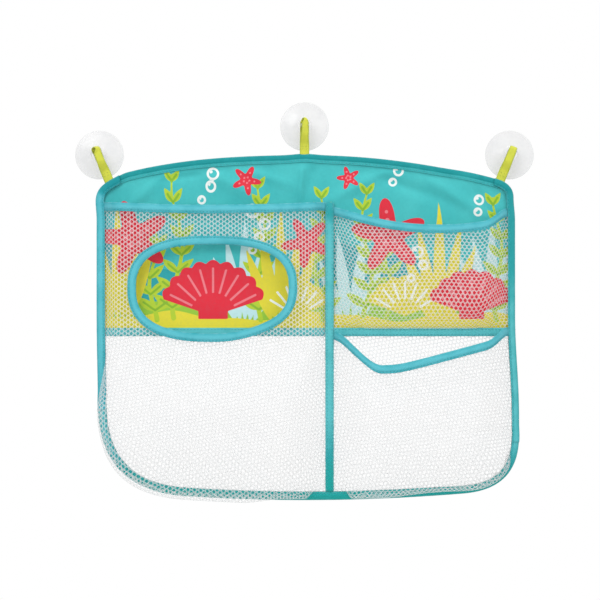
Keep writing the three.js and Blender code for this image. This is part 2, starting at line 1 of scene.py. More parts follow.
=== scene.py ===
"""Looks of the hanging bath toy organizer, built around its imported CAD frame.

Lengths are millimetres in the bag's own coordinates: x to the right, out from the wall, and z up from the
lowest point of the bag's bottom edge. bag_points() turns them into the frame's axes, and make_piece() into
metres.
"""

import json
import math
from dataclasses import dataclass
from itertools import product

import bmesh
import bpy
import numpy as np
from mathutils import Matrix, Vector
from mathutils.kdtree import KDTree


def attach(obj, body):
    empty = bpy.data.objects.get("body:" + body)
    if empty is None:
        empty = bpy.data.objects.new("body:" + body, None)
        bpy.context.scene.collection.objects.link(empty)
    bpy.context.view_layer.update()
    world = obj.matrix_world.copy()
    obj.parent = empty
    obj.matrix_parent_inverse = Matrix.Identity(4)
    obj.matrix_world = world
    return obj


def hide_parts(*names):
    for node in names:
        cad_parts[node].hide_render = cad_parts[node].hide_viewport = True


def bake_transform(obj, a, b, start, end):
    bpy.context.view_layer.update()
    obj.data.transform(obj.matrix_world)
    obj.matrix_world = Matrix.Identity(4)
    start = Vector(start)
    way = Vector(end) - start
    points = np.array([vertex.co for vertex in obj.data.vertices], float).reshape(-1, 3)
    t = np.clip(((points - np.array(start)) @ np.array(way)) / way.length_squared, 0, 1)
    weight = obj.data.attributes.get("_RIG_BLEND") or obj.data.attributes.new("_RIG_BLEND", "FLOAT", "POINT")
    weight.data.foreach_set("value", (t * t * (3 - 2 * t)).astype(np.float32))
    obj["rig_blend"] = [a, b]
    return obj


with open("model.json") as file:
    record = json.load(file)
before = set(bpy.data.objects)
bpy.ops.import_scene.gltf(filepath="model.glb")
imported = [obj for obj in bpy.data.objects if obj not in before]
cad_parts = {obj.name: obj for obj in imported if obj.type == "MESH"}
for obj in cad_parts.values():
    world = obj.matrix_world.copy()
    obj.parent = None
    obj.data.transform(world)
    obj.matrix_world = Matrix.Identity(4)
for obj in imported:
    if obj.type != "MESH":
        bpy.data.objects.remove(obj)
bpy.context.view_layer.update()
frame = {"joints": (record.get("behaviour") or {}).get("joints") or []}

MM = 0.001
FORWARD = np.array([0.0, -1.0, 0.0])  # out from the wall

# Sizes of the bag, as in the part's source
BAG_WIDTH = 418
BAG_HEIGHT = 345
TOP_CROWN = 30
BOTTOM_CROWN = 12
TOP_CORNER = 18
BOTTOM_CORNER = 52
BINDING_WIDTH = 8.5
TAPE_WIDTH = 8.4
TAPE = 0.8
CLOTH = 0.8
FOLD_WALL = 0.6
FIT = 0.3
SEAM_GAP = 0.8  # between a tape and the seam beside it
DIVIDER_X = 25
WAIST_Z = 168
LEFT_RIM_Z = 297.5
WINDOW_X = -92
WINDOW_Z = 213
WINDOW_WIDTH = 152
WINDOW_HEIGHT = 84
WINDOW_ROUNDNESS = 2.6
BAG_DROP = 374.4  # from the frame's origin down to the bag's lowest point

# Distances from the wall
BAG_OUT = 10
NET_OUT = 12
BINDING_BACK = 8.7
BINDING_FRONT = 13.3
HEM_FRONT = 11.3
TAPE_BACK = 12.7
WAIST_BACK = 9.1
WAIST_FRONT = 11.0

# Places worked out from the sizes
HALF_WIDTH = BAG_WIDTH / 2
SHOULDER_Z = BAG_HEIGHT - TOP_CROWN
SEAM_INSET = BINDING_WIDTH + SEAM_GAP
SIDE_SEAM = HALF_WIDTH - SEAM_INSET
DIVIDER_LEFT = DIVIDER_X - TAPE_WIDTH / 2 - SEAM_GAP
DIVIDER_RIGHT = DIVIDER_X + TAPE_WIDTH / 2 + SEAM_GAP
TAPE_BOTTOM = WAIST_Z - TAPE_WIDTH / 2
TAPE_TOP = WAIST_Z + TAPE_WIDTH / 2
LOWER_RIM_Z = TAPE_BOTTOM - FIT
FOLD_HALF = CLOTH / 2 + FIT + FOLD_WALL

# Net
NET_PITCH = (6.33, 4.44)  # of its cells, along their length and across it
NET_STRAND = 1.15  # width of a strand
NET_FILLET = 0.8  # how far a hole stays from the joints of its strands
NET_YARN = 0.5  # thickness of the strands
NET_TUCK = 4  # how deep a net goes into a folded binding
NET_RISE = 1.3  # a net rises from its seams over this many times its depth
NET_SIDE = 2.6  # from the divider's middle to a net's edge under its tape
NET_GRAIN = 0.05  # joints of strands that lie closer together than this are one

# Stitches
STITCH = 2.5
STITCH_PITCH = 3.4
STITCH_RADIUS = 0.28
STITCH_INSET = 1.7  # from the open edge of a tape
STITCH_ARCH = 0.22  # height of its middle over its ends
STITCH_SINK = 0.06  # how deep its ends lie in the cloth
STITCH_RINGS = 5
STITCH_SIDES = 6

# How the hung bag departs from the sizes it is sewn to
RIGHT_TOP_CORNER = 13  # the upper right corner, pulled tighter by its loop
LOADED_CORNER = 84  # the lower left corner, drawn in by its pocket
WINDOW_SAG = 4  # of the window's bottom edge
RIGHT_SWING = 1.5  # of the right side, to the right
RIGHT_LOW_SWING = 4  # as much more low down
LEFT_SWING = 1.2  # of the left side, to the right
LEFT_LOW_SWING = 1.3  # as much more low down
LEFT_LIFT = 4.2  # of the hem at the left shoulder
LOOP_LIFT = 1.3  # of the hem at the middle and right loops
UPPER_SAG = 13  # of the upper rim
UPPER_END_RISE = 8.5  # of its right end
LOWER_DROOP = 28  # of the lower rim
LOWEST_SHARE = 0.35  # of its length, where it hangs lowest
LOWER_START_RISE = 6  # of its left end
LOWER_END_RISE = 13.5  # of its right end
TAPE_LAP = 2.6  # how far its ends stand out to pass in front of the tape above them
RIGHT_SPREAD = 0.87  # the right binding's width as a share of the others'

# How far the bellies of the nets spill over their seams
SPILL_REACH = 12  # most of all at this distance from the seam
LEFT_CORNER_SPILL = 21
LEFT_SIDE_SPILL = 18.5
LEFT_FOOT_SPILL = 16
LOWER_START_SPILL = 16.5
LOWER_FOOT_SPILL = 13
LOWER_CORNER_SPILL = 15
UPPER_FOOT_SPILL = 7

SWEEP_STEP = 2.0  # between the places along a tape


def smooth_share(value, start, end):
    """0 before start, 1 after end, and a smooth step between."""
    share = np.clip((value - start) / (end - start), 0, 1)
    return share * share * (3 - 2 * share)


def mixed(start, end, share):
    return start + (end - start) * share


def between(value, start, full, fading, end):
    """1 from full to fading, 0 outside start and end, and smooth steps between."""
    return smooth_share(value, start, full) * (1 - smooth_share(value, fading, end))


def side_swing(x, z):
    """How far a place of the hung bag swings to the right: most low down, and not at the hem or divider."""
    below_hem = 1 - smooth_share(z, SHOULDER_Z - 35, SHOULDER_Z - 13)
    low = 1 - smooth_share(z, 85, 185)
    to_right = np.clip((x - DIVIDER_X) / (HALF_WIDTH - DIVIDER_X), 0, None)
    to_left = np.clip((DIVIDER_X - x) / (HALF_WIDTH + DIVIDER_X), 0, None)
    right = (RIGHT_SWING + RIGHT_LOW_SWING * low) * to_right
    left = (LEFT_SWING + LEFT_LOW_SWING * low) * to_left
    return below_hem * (right + left)


def top_lift(x, z):
    """How far the hung bag's hem is pulled up: most at the left shoulder, less at the other two loops."""
    left = LEFT_LIFT * between(x, -200, -176, -170, -10)
    middle = LOOP_LIFT * np.exp(-((x / 14) ** 2))
    right = LOOP_LIFT * between(x, 130, 172, 188, 206)
    return (left + middle + right) * smooth_share(z, SHOULDER_Z - 15, SHOULDER_Z + 3)


def bag_points(x, out, z):
    x, out, z = np.broadcast_arrays(x, out, z)
    return np.stack([x + side_swing(x, z), -out, z + top_lift(x, z) - BAG_DROP], axis=-1).astype(float)


def unit(vectors):
    return vectors / np.linalg.norm(vectors, axis=-1, keepdims=True)


# Pieces and their values
def new_object(name, data):
    made = bpy.data.objects.new(name, data)
    bpy.context.scene.collection.objects.link(made)
    return made


def make_piece(name, points, faces, material):
    mesh = bpy.data.meshes.new(name)
    mesh.from_pydata((np.asarray(points) * MM).tolist(), [], faces)
    mesh.materials.append(material)
    mesh.shade_smooth()
    return new_object(name, mesh)


def make_solid(name, points, faces, material):
    """A closed piece with all its faces turned outwards."""
    piece = make_piece(name, points, faces, material)
    work = bmesh.new()
    work.from_mesh(piece.data)
    bmesh.ops.recalc_face_normals(work, faces=work.faces)
    work.to_mesh(piece.data)
    work.free()
    return piece


def tube_quads(rings, closed=False):
    """Faces between neighbouring rings of point numbers, on from the last ring to the first if closed."""
    ahead = np.roll(rings, -1, axis=0)
    if not closed:
        rings, ahead = rings[:-1], ahead[:-1]
    corners = [rings, np.roll(rings, -1, axis=1), np.roll(ahead, -1, axis=1), ahead]
    return np.stack(corners, axis=-1).reshape(-1, 4).tolist()


def tube_faces(rings):
    """Faces of a tube with a face over each end."""
    return tube_quads(rings) + [rings[0].tolist(), rings[-1].tolist()]


def set_values(piece, name, values):
    """Sets a value at each of a piece's points, for its finish to take."""
    layers = piece.data.attributes
    layer = layers.get(name) or layers.new(name, "FLOAT", "POINT")
    layer.data.foreach_set("value", np.asarray(values, np.float32).ravel())


def stand_for(piece, node, body="bag"):
    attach(piece, body)
    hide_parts(node)


def path_lengths(points):
    steps = np.linalg.norm(np.diff(points, axis=0), axis=1)
    return np.concatenate([[0], np.cumsum(steps)])


def resampled(points, step):
    lengths = path_lengths(points)
    even = np.linspace(0, lengths[-1], max(2, round(lengths[-1] / step) + 1))
    return np.stack([np.interp(even, lengths, column) for column in points.T], axis=1)


# Materials
def colour(code):
    """A written sRGB colour as the linear one that shaders take."""
    parts = [int(code[i : i + 2], 16) / 255 for i in (0, 2, 4)]
    return (*[p / 12.92 if p <= 0.04045 else ((p + 0.055) / 1.055) ** 2.4 for p in parts], 1)


def feed(tree, value, socket):
    """Gives a socket a value, or links it to the socket that the value comes from."""
    if isinstance(value, bpy.types.NodeSocket):
        tree.links.new(value, socket)
    else:
        socket.default_value = value


def add_node(tree, kind, *values, output=0, **settings):
    """A new node with its settings and the values of its first sockets. Gives one of its outputs."""
    made = tree.nodes.new("ShaderNode" + kind)
    for name, setting in settings.items():
        setattr(made, name, setting)
    for socket, value in zip(made.inputs, values):
        feed(tree, value, socket)
    return made.outputs[output]


class Finish:
    """A material under construction: its Principled shader, and short ways to add nodes in front of it."""

    def __init__(self, name, **sockets):
        self.material = bpy.data.materials.new(name)
        self.material.use_nodes = True
        self.tree = self.material.node_tree
        self.shader = self.tree.nodes["Principled BSDF"]
        for socket, value in sockets.items():
            self.shader.inputs[socket.replace("_", " ")].default_value = value

    def math(self, operation, *values):
        return add_node(self.tree, "Math", *values, operation=operation)

    def attribute(self, name):
        return add_node(self.tree, "Attribute", attribute_name=name, output="Fac")

    def point(self):
        return add_node(self.tree, "TexCoord", output="Object")

    def place(self):
        """The point on the piece at rest, in millimetres, as three sockets."""
        split = [add_node(self.tree, "SeparateXYZ", self.point(), output=axis) for axis in "XYZ"]
        return [self.math("MULTIPLY", socket, 1 / MM) for socket in split]

    def noise(self, size):
        """Cloudy values from 0 to 1, with clouds about size millimetres across."""
        made = self.tree.nodes.new("ShaderNodeTexNoise")
        made.inputs["Scale"].default_value = 1 / (size * MM)
        made.inputs["Detail"].default_value = 3.0
        self.tree.links.new(self.point(), made.inputs["Vector"])
        return made.outputs["Fac"]

    def wave(self, value, period):
        return self.math("SINE", self.math("MULTIPLY", value, 2 * math.pi / period))

    def weave(self, along, across, period):
        return self.math("MULTIPLY", self.wave(along, period), self.wave(across, period))

    def twist(self, period):
        """Slanting waves, as of twisted yarn."""
        x, y, z = self.place()
        return self.wave(self.math("ADD", self.math("ADD", x, y), z), period)

    def span(self, value, start, end, low=0.0, high=1.0):
        """value carried from start..end to low..high, and held there."""
        return add_node(self.tree, "MapRange", value, start, end, low, high)

    def mix(self, share, first, second):
        made = self.tree.nodes.new("ShaderNodeMix")
        made.data_type = "RGBA"
        for socket, value in ((0, share), (6, first), (7, second)):
            feed(self.tree, value, made.inputs[socket])
        return made.outputs[2]

    def colour(self, value):
        feed(self.tree, value, self.shader.inputs["Base Color"])

    def roughness(self, value):
        feed(self.tree, value, self.shader.inputs["Roughness"])

    def clouded(self, size, first, second, roughness):
        """A colour that drifts between two in clouds of a size, and sets a roughness that drifts with it."""
        clouds = self.noise(size)
        self.roughness(self.span(clouds, 0.3, 0.7, *roughness))
        return self.mix(self.span(clouds, 0.3, 0.7), colour(first), colour(second))

    def bump(self, height, depth):
        """Relief of the given depth in millimetres, where height is 1."""
        made = self.tree.nodes.new("ShaderNodeBump")
        made.inputs["Strength"].default_value = 1.0
        made.inputs["Distance"].default_value = depth * MM
        feed(self.tree, height, made.inputs["Height"])
        self.tree.links.new(made.outputs[0], self.shader.inputs["Normal"])


PLAIN_CLOTH = dict(Sheen_Weight=0.15, Sheen_Roughness=0.5, Specular_IOR_Level=0.2)


def woven_finish(name, deep, dark, light, faded, thread):
    """Tape woven of threads along and across it, painted lighter as a highlight where its painted light is
    1, dark at 0 and deep at -1, which is painted shade, and the hem's own dark colour at the top corners.

    It is a little faded along its folds.
    """
    finish = Finish(name, **PLAIN_CLOTH)
    weave = finish.weave(finish.attribute("along"), finish.attribute("across"), 2 * thread)
    clouds = finish.noise(14)
    # Painted light: the highlight across the tape and its painted shade, varied a little in clouds.
    painted_lighting = finish.math("ADD", finish.attribute("ridge"), finish.span(clouds, 0.3, 0.7, -0.3, 0.3))
    shade = finish.mix(finish.span(painted_lighting, 0, 1), colour(dark), colour(light))
    shade = finish.mix(finish.span(painted_lighting, -1, 0), colour(deep), shade)
    worn = finish.math("MULTIPLY", finish.attribute("wear_and_edge_shade"), finish.span(finish.noise(5), 0.35, 0.7, 0, 0.6))
    shade = finish.mix(worn, shade, colour(faded))
    finish.colour(finish.mix(finish.span(weave, -1, 1, 0.16, 0.0), shade, colour(dark)))
    finish.roughness(finish.span(clouds, 0.3, 0.7, 0.62, 0.78))
    finish.bump(weave, 0.05)
    return finish.material


def net_finish():
    """Sheer white knitted yarn with a fine twist, which lets most of what is behind it show."""
    finish = Finish("net", Alpha=0.3)
    twist = finish.twist(0.55)
    shade = finish.clouded(40, "FAFBFC", "FEFEFE", (0.6, 0.75))
    finish.colour(finish.mix(finish.span(twist, -1, 1, 0.12, 0.0), shade, colour("E6ECEF")))
    finish.bump(twist, 0.04)
    return finish.material


# In the order that they are printed
INKS = {
    "ink_deep": "2FA5AB",
    "ink_meadow": "9CCB3C",
    "ink_pale": "C4E9EC",
    "ink_sand": "EBDD3B",
    "ink_lime": "BAD433",
    "ink_vein": "8DBB2C",
    "ink_gold": "E6D93A",
    "ink_white": "F4F8F5",
    "ink_red": "E5293D",
    "ink_rose": "F2808A",
}


def panel_finish(name, grounds, roughness, blur, share, thread, thread_share, patches=0.0):
    """Plain-woven polyester in flat inks. Each ink's attribute is the distance to the edge of its shapes.

    blur is how far that edge spreads, and share how much of the inks shows. The threads show through by
    thread_share, and in patches by as much more.
    """
    finish = Finish(name, **PLAIN_CLOTH)
    x, _, z = finish.place()
    shade = finish.clouded(30, *grounds, roughness)
    for ink, code in INKS.items():
        inside = finish.span(finish.attribute(ink), -blur, blur, share, 0.0)
        shade = finish.mix(inside, shade, colour(code))
    weave = finish.weave(x, z, 0.9)
    thin = finish.span(weave, -1, 1, thread_share, 0.0)
    thinner = finish.span(finish.noise(3), 0.4, 0.8, 0.0, patches)
    finish.colour(finish.mix(finish.math("ADD", thin, thinner), shade, colour(thread)))
    finish.bump(weave, 0.03)
    return finish.material


def ribbon_finish():
    """Lime satin ribbon with a slanting rib, and painted shade along its edges."""
    finish = Finish("ribbon", Sheen_Weight=0.3, Sheen_Roughness=0.35)
    along = finish.attribute("along")
    across = finish.attribute("across")
    rib = finish.wave(finish.math("ADD", along, across), 1.1)
    cord = finish.wave(across, 0.8)
    relief = finish.math("ADD", rib, finish.math("MULTIPLY", cord, 0.4))
    shade = finish.clouded(9, "CED23C", "E2E344", (0.5, 0.65))
    # Painted shade along the ribbon's edges.
    shade = finish.mix(finish.math("MULTIPLY", finish.attribute("wear_and_edge_shade"), 0.7), shade, colour("ABBB2C"))
    finish.colour(finish.mix(finish.span(relief, -1.4, 1.4, 0.3, 0.0), shade, colour("A2B22A")))
    finish.bump(relief, 0.06)
    return finish.material


def thread_finish(name, dark, light):
    """Sewing thread with its twist."""
    finish = Finish(name, Sheen_Weight=0.3, Sheen_Roughness=0.4, Roughness=0.55)
    twist = finish.twist(0.4)
    finish.colour(finish.mix(finish.span(twist, -1, 1), colour(dark), colour(light)))
    finish.bump(twist, 0.03)
    return finish.material


def pvc_finish():
    """Clear soft PVC, thin and slightly milky, with a faint unevenness from the mould."""
    finish = Finish("clear_pvc", Alpha=0.34, IOR=1.5)
    clouds = finish.noise(12)
    finish.colour(finish.mix(finish.span(clouds, 0.3, 0.7), colour("DADBDD"), colour("E6E6E7")))
    finish.roughness(finish.span(finish.noise(6), 0.3, 0.7, 0.14, 0.24))
    finish.bump(clouds, 0.05)
    return finish.material


BINDING_CLOTH = woven_finish("binding", "0C8F96", "2FA6B2", "5FC2CF", "8AD2DC", 0.45)
TAPE_CLOTH = woven_finish("tape", "10A29B", "2BA4A8", "60C4CA", "8AD4D8", 0.45)
SIDE_CLOTH = woven_finish("side", "0E9094", "2BA4A8", "60C4CA", "8AD4D8", 0.45)
HEM_CLOTH = woven_finish("hem", "0E9094", "0E9094", "3DB6B8", "5FC0C4", 0.4)
NET_YARN_CLOTH = net_finish()
PRINT_CLOTH = panel_finish("print_cloth", ("40BABC", "4EC5C6"), (0.6, 0.74), 0.2, 1.0, "2C7C82", 0.07, 0.08)
# The panel's reverse, where its ground and inks show through paler
REVERSE_CLOTH = panel_finish("panel_reverse", ("8ED2CF", "A4DCD8"), (0.65, 0.8), 0.6, 0.3, "4FA9A8", 0.12)
RIBBON_CLOTH = ribbon_finish()
TEAL_THREAD = thread_finish("teal_thread", "1F8F99", "49B5BF")
LIME_THREAD = thread_finish("lime_thread", "A3B022", "DDE25A")
CLEAR_PVC = pvc_finish()


# Outline of the bag, travelled with the bag on the left
def arch_drop(x, crown):
    radius = (HALF_WIDTH**2 + crown**2) / (2 * crown)
    return radius - np.sqrt(radius**2 - np.square(x))


def bent(start, corner, end, steps=40):
    t = np.linspace(0, 1, steps + 1)[:, None]
    return (1 - t) ** 2 * np.array(start) + 2 * t * (1 - t) * np.array(corner) + t**2 * np.array(end)


def edge_lines():
    foot = (HALF_WIDTH, BOTTOM_CROWN + BOTTOM_CORNER)
    left_foot = (-HALF_WIDTH, BOTTOM_CROWN + LOADED_CORNER)
    head = (HALF_WIDTH, SHOULDER_Z - RIGHT_TOP_CORNER)
    left_head = (-HALF_WIDTH, SHOULDER_Z - TOP_CORNER)
    low_x = np.linspace(LOADED_CORNER - HALF_WIDTH, HALF_WIDTH - BOTTOM_CORNER, 120)
    low_arc = np.stack([low_x, arch_drop(low_x, BOTTOM_CROWN)], axis=1)
    high_x = np.linspace(HALF_WIDTH - RIGHT_TOP_CORNER, TOP_CORNER - HALF_WIDTH, 160)
    high_arc = np.stack([high_x, BAG_HEIGHT - arch_drop(high_x, TOP_CROWN)], axis=1)
    low_right = bent(low_arc[-1], (HALF_WIDTH, BOTTOM_CROWN), foot)
    low_left = bent(left_foot, (-HALF_WIDTH, BOTTOM_CROWN), low_arc[0])
    high_right = bent(head, (HALF_WIDTH, SHOULDER_Z), high_arc[0])
    high_left = bent(high_arc[-1], (-HALF_WIDTH, SHOULDER_Z), left_head)
    bottom = np.concatenate([low_left, low_arc[1:-1], low_right])
    right = np.concatenate([[foot], high_right])
    left = np.concatenate([high_left, [left_foot]])
    lines = {"bottom": bottom, "right": right, "top": high_arc, "left": left}
    return {name: resampled(line, SWEEP_STEP) for name, line in lines.items()}


def inward_normals(line):
    along = unit(np.gradient(line, axis=0))
    return np.stack([-along[:, 1], along[:, 0]], axis=1)


EDGES = edge_lines()
OUTLINE = resampled(np.concatenate([EDGES[k] for k in ("bottom", "right", "top", "left")]), 1.0)
OUTLINE_NORMALS = inward_normals(OUTLINE)


def outline_tree():
    tree = KDTree(len(OUTLINE))
    for i, (x, z) in enumerate(OUTLINE):
        tree.insert((x, 0, z), i)
    tree.balance()
    return tree


OUTLINE_TREE = outline_tree()


def edge_frames(x, z):
    """How far inside the outline each place lies, and the way out to the nearest edge."""
    x, z = np.broadcast_arrays(x, z)
    flat = np.stack([np.ravel(x), np.ravel(z)], axis=1)
    nearest = [OUTLINE_TREE.find((a, 0, b))[1] for a, b in flat]
    inward = OUTLINE_NORMALS[nearest]
    distance = np.sum((flat - OUTLINE[nearest]) * inward, axis=1)
    return distance.reshape(x.shape), -inward[:, 0].reshape(x.shape), -inward[:, 1].reshape(x.shape)


def edge_distance(x, z):
    return edge_frames(x, z)[0]


TOP_LINE = np.concatenate([EDGES["right"], EDGES["top"][1:], EDGES["left"][1:]])[::-1]
TOP_LINE = TOP_LINE[TOP_LINE[:, 1] > SHOULDER_Z - TOP_CORNER]


def top_z(x):
    return np.interp(x, TOP_LINE[:, 0], TOP_LINE[:, 1])


SEAM_LINE = EDGES["bottom"] + inward_normals(EDGES["bottom"]) * SEAM_INSET


def bottom_seam(x):
    return np.interp(x, SEAM_LINE[:, 0], SEAM_LINE[:, 1])


# Pockets
def swell(distance):
    """0 on a seam, 1 near it, and 0 again farther off."""
    share = np.clip(distance, 0, None) / SPILL_REACH
    return share * np.exp(1 - share) * (1 - smooth_share(distance, 20, 50))


@dataclass
class Pocket:
    """A net pocket. Its depth goes from that of its belly to that of its mouth between two heights."""

    left: float
    right: float
    bottom: object  # height of its bottom seam at x
    rim: object  # height of its rim at x
    belly: float
    mouth: float
    narrows: tuple
    spill: object  # move of its belly over its seams at (x, z)
    lumps: float
    foot: float = 0  # lowest place of its net
    lap: object = None  # how far it stands out more at (x, z)
    held = "gathered"

    def stands_out(self, x, z):
        """How far the net stands out from the wall."""
        depth = mixed(self.belly, self.mouth, smooth_share(z, *self.narrows))

        def wave(distance):
            return np.sin(math.pi / 2 * np.clip(distance / (NET_RISE * depth), 0, 1))

        rise = wave(x - self.left) * wave(self.right - x) * wave(z - self.bottom(x))
        lumps = self.lumps * np.sin(x / 19 + 1.3) * np.sin(z / 23 + x / 60)
        over = self.lap(x, z) if self.lap else 0
        return NET_OUT + (depth + lumps) * rise + over

    def cloth(self, x, z):
        """The net before its belly spills over, on which its length is measured."""
        return bag_points(x, self.stands_out(x, z), z)

    def surface(self, x, z):
        moved_x, moved_z = self.spill(x, z)
        return bag_points(x + moved_x, self.stands_out(x, z), z + moved_z)

    def normal(self, x, z):
        across = self.surface(x + 0.5, z) - self.surface(x - 0.5, z)
        up = self.surface(x, z + 0.5) - self.surface(x, z - 0.5)
        return unit(np.cross(across, up))


def sagging(share, depth):
    return 4 * depth * share * (1 - share)


def right_share(x):
    return np.clip((x - DIVIDER_RIGHT) / (SIDE_SEAM - DIVIDER_RIGHT), 0, 1)


def left_share(x):
    return np.clip((x + SIDE_SEAM) / (DIVIDER_LEFT + SIDE_SEAM), 0, 1)


def over_edge(x, z, amount):
    """The move of a belly that spills over the bag's bound edge."""
    distance, way_x, way_z = edge_frames(x, z)
    push = amount * swell(distance - SEAM_INSET)
    return push * way_x, push * way_z


def left_spill(x, z):
    """Over the edge round the corner and along the bottom, up to the divider."""
    belly = mixed(LEFT_CORNER_SPILL, LEFT_SIDE_SPILL, smooth_share(z, 35, 70))
    amount = mixed(belly, LEFT_FOOT_SPILL, smooth_share(x, -62, -22)) * (1 - smooth_share(x, 0, 15))
    return over_edge(x, z, amount * (1 - smooth_share(z, 80, 178)))


def lower_spill(x, z):
    """Straight down along the bottom, and over the edge round the corner."""
    belly = mixed(LOWER_START_SPILL, LOWER_FOOT_SPILL, smooth_share(x, 75, 125))
    down = belly * between(x, 36, 47, 130, 175)
    round_bend = smooth_share(x, 130, 175) * (1 - smooth_share(z, 34, 66))
    moved_x, moved_z = over_edge(x, z, LOWER_CORNER_SPILL * round_bend)
    return moved_x, moved_z - down * swell(z - bottom_seam(x))


def upper_spill(x, z):
    return 0, -UPPER_FOOT_SPILL * between(x, 34, 70, 160, 196) * swell(z - TAPE_TOP)


def rim_end(x):
    """0 along a right pocket's rim, rising to 1 at its right end, which is sewn in higher up."""
    return smooth_share(x, SIDE_SEAM - 24, SIDE_SEAM + 1)


def tape_lap(x, z):
    """How far the lower rim's ends stand out to pass in front of the tape above them."""
    ends = between(x, 29, 34, 40, 52) + between(x, 176, 188, 198, 203)
    return TAPE_LAP * ends * smooth_share(z, 148, 160)


def lower_rim(x):
    """Steep from the divider down to its lowest place, then rising evenly to the right."""
    share = right_share(x)
    past = share - LOWEST_SHARE
    rising = np.minimum((past + np.hypot(past, 0.06)) / 2, 0.52)
    droop = LOWER_DROOP * smooth_share(share, 0.01, 0.27) * (1 - 0.85 * rising / 0.52)
    start = LOWER_START_RISE * (1 - smooth_share(share, -0.03, 0.12))
    return LOWER_RIM_Z - droop + start + LOWER_END_RISE * rim_end(x)


def upper_rim(x):
    share = right_share(x)
    return SHOULDER_Z - mixed(22, 32, share) - sagging(share, UPPER_SAG) + UPPER_END_RISE * rim_end(x)


LEFT_POCKET = Pocket(
    left=-SIDE_SEAM,
    right=DIVIDER_LEFT,
    bottom=bottom_seam,
    rim=lambda x: LEFT_RIM_Z - sagging(left_share(x), 3),
    belly=36,
    mouth=12,
    narrows=(85, 165),
    spill=left_spill,
    lumps=2.5,
)
UPPER_POCKET = Pocket(
    left=DIVIDER_RIGHT,
    right=SIDE_SEAM,
    bottom=lambda x: TAPE_TOP + SEAM_GAP,
    rim=upper_rim,
    belly=24,
    mouth=17,
    narrows=(210.2, 270),
    spill=upper_spill,
    lumps=1.5,
    foot=TAPE_BOTTOM + 2.5,
)
LOWER_POCKET = Pocket(
    left=DIVIDER_RIGHT,
    right=SIDE_SEAM,
    bottom=bottom_seam,
    rim=lower_rim,
    belly=33,
    mouth=24,
    narrows=(75, 134.5),
    spill=lower_spill,
    lumps=2,
    lap=tape_lap,
)


# Nets
def sampled(table, x, z, low, step):
    """Values of a table of even steps at the places (x, z), straight between its entries."""
    a = np.clip((x - low[0]) / step, 0, table.shape[0] - 1.001)
    b = np.clip((z - low[1]) / step, 0, table.shape[1] - 1.001)
    i, j = a.astype(int), b.astype(int)
    s, t = a - i, b - j
    below = mixed(table[i, j], table[i + 1, j], s)
    above = mixed(table[i, j + 1], table[i + 1, j + 1], s)
    return mixed(below, above, t)


def unroller(surface, low, high, step=1.0):
    """The way from cloth measured along a surface, from the middle of its box, to the (x, z) under it."""
    xs = np.arange(low[0], high[0] + step, step)
    zs = np.arange(low[1], high[1] + step, step)
    grid = surface(xs[:, None], zs[None, :])
    across = np.zeros(grid.shape[:2])
    upward = np.zeros(grid.shape[:2])
    across[1:] = np.cumsum(np.linalg.norm(np.diff(grid, axis=0), axis=2), axis=0)
    upward[:, 1:] = np.cumsum(np.linalg.norm(np.diff(grid, axis=1), axis=2), axis=1)
    across -= across[len(xs) // 2]
    upward -= upward[:, len(zs) // 2][:, None]
    middle = (xs[len(xs) // 2], zs[len(zs) // 2])

    def to_place(cloth):
        x, z = cloth[..., 0] + middle[0], cloth[..., 1] + middle[1]
        for _ in range(40):
            x = x + 0.5 * (cloth[..., 0] - sampled(across, x, z, low, step))
            z = z + 0.5 * (cloth[..., 1] - sampled(upward, x, z, low, step))
            x, z = np.clip(x, low[0], high[0]), np.clip(z, low[1], high[1])
        return x, z

    to_place.low = (across.min(), upward.min())
    to_place.high = (across.max(), upward.max())
    return to_place


def net_cell(wide, tall):
    """The six corners of a net's cell and the twelve points of its rounded hole, about its middle."""
    far = (wide**2 + tall**2) / (4 * wide)
    near = (wide**2 - tall**2) / (4 * wide)
    half = tall / 2
    corners = np.array([(far, 0), (near, half), (-near, half), (-far, 0), (-near, -half), (near, -half)])
    sides = (corners + np.roll(corners, -1, axis=0)) / 2
    hole = np.empty((12, 2))
    hole[0::2] = corners - unit(corners) * NET_FILLET
    hole[1::2] = sides - unit(sides) * NET_STRAND / 2
    return corners, hole


def turned(points, angle):
    c, s = math.cos(angle), math.sin(angle)
    return points @ np.array([[c, s], [-s, c]])


def cell_middles(low, high, angle):
    """Middles of all cells of a net turned by an angle that lie in a box of cloth."""
    wide, tall = NET_PITCH
    reach = int(np.abs([*low, *high]).max() * 1.5 / wide) + 2
    i, j = np.meshgrid(np.arange(-reach, reach), np.arange(-3 * reach, 3 * reach), indexing="ij")
    middles = np.stack([(i + (j % 2) / 2) * wide, j * tall / 2], axis=-1).reshape(-1, 2)
    cloth = turned(middles, angle)
    return middles[((cloth > low) & (cloth < high)).all(axis=1)]


def net_faces(cells, holes, count):
    """Faces of a net in front, behind and round its edge, from the point numbers of its cells and holes."""
    ahead = np.roll(cells, -1, axis=1)
    inner = [holes[:, 0::2], holes[:, 1::2], np.roll(holes[:, 0::2], -1, axis=1)]
    front = np.stack([cells, ahead, *inner[::-1]], axis=-1).reshape(-1, 5)
    back = np.stack([ahead + count, cells + count, *inner], axis=-1).reshape(-1, 5)
    edges = np.stack([cells, ahead], axis=-1).reshape(-1, 2)
    _, which, uses = np.unique(np.sort(edges, axis=1), axis=0, return_inverse=True, return_counts=True)
    start, end = edges[uses[which.ravel()] == 1].T
    walls = np.stack([end, start, start + count, end + count], axis=1)
    return front.tolist() + back.tolist() + walls.tolist()


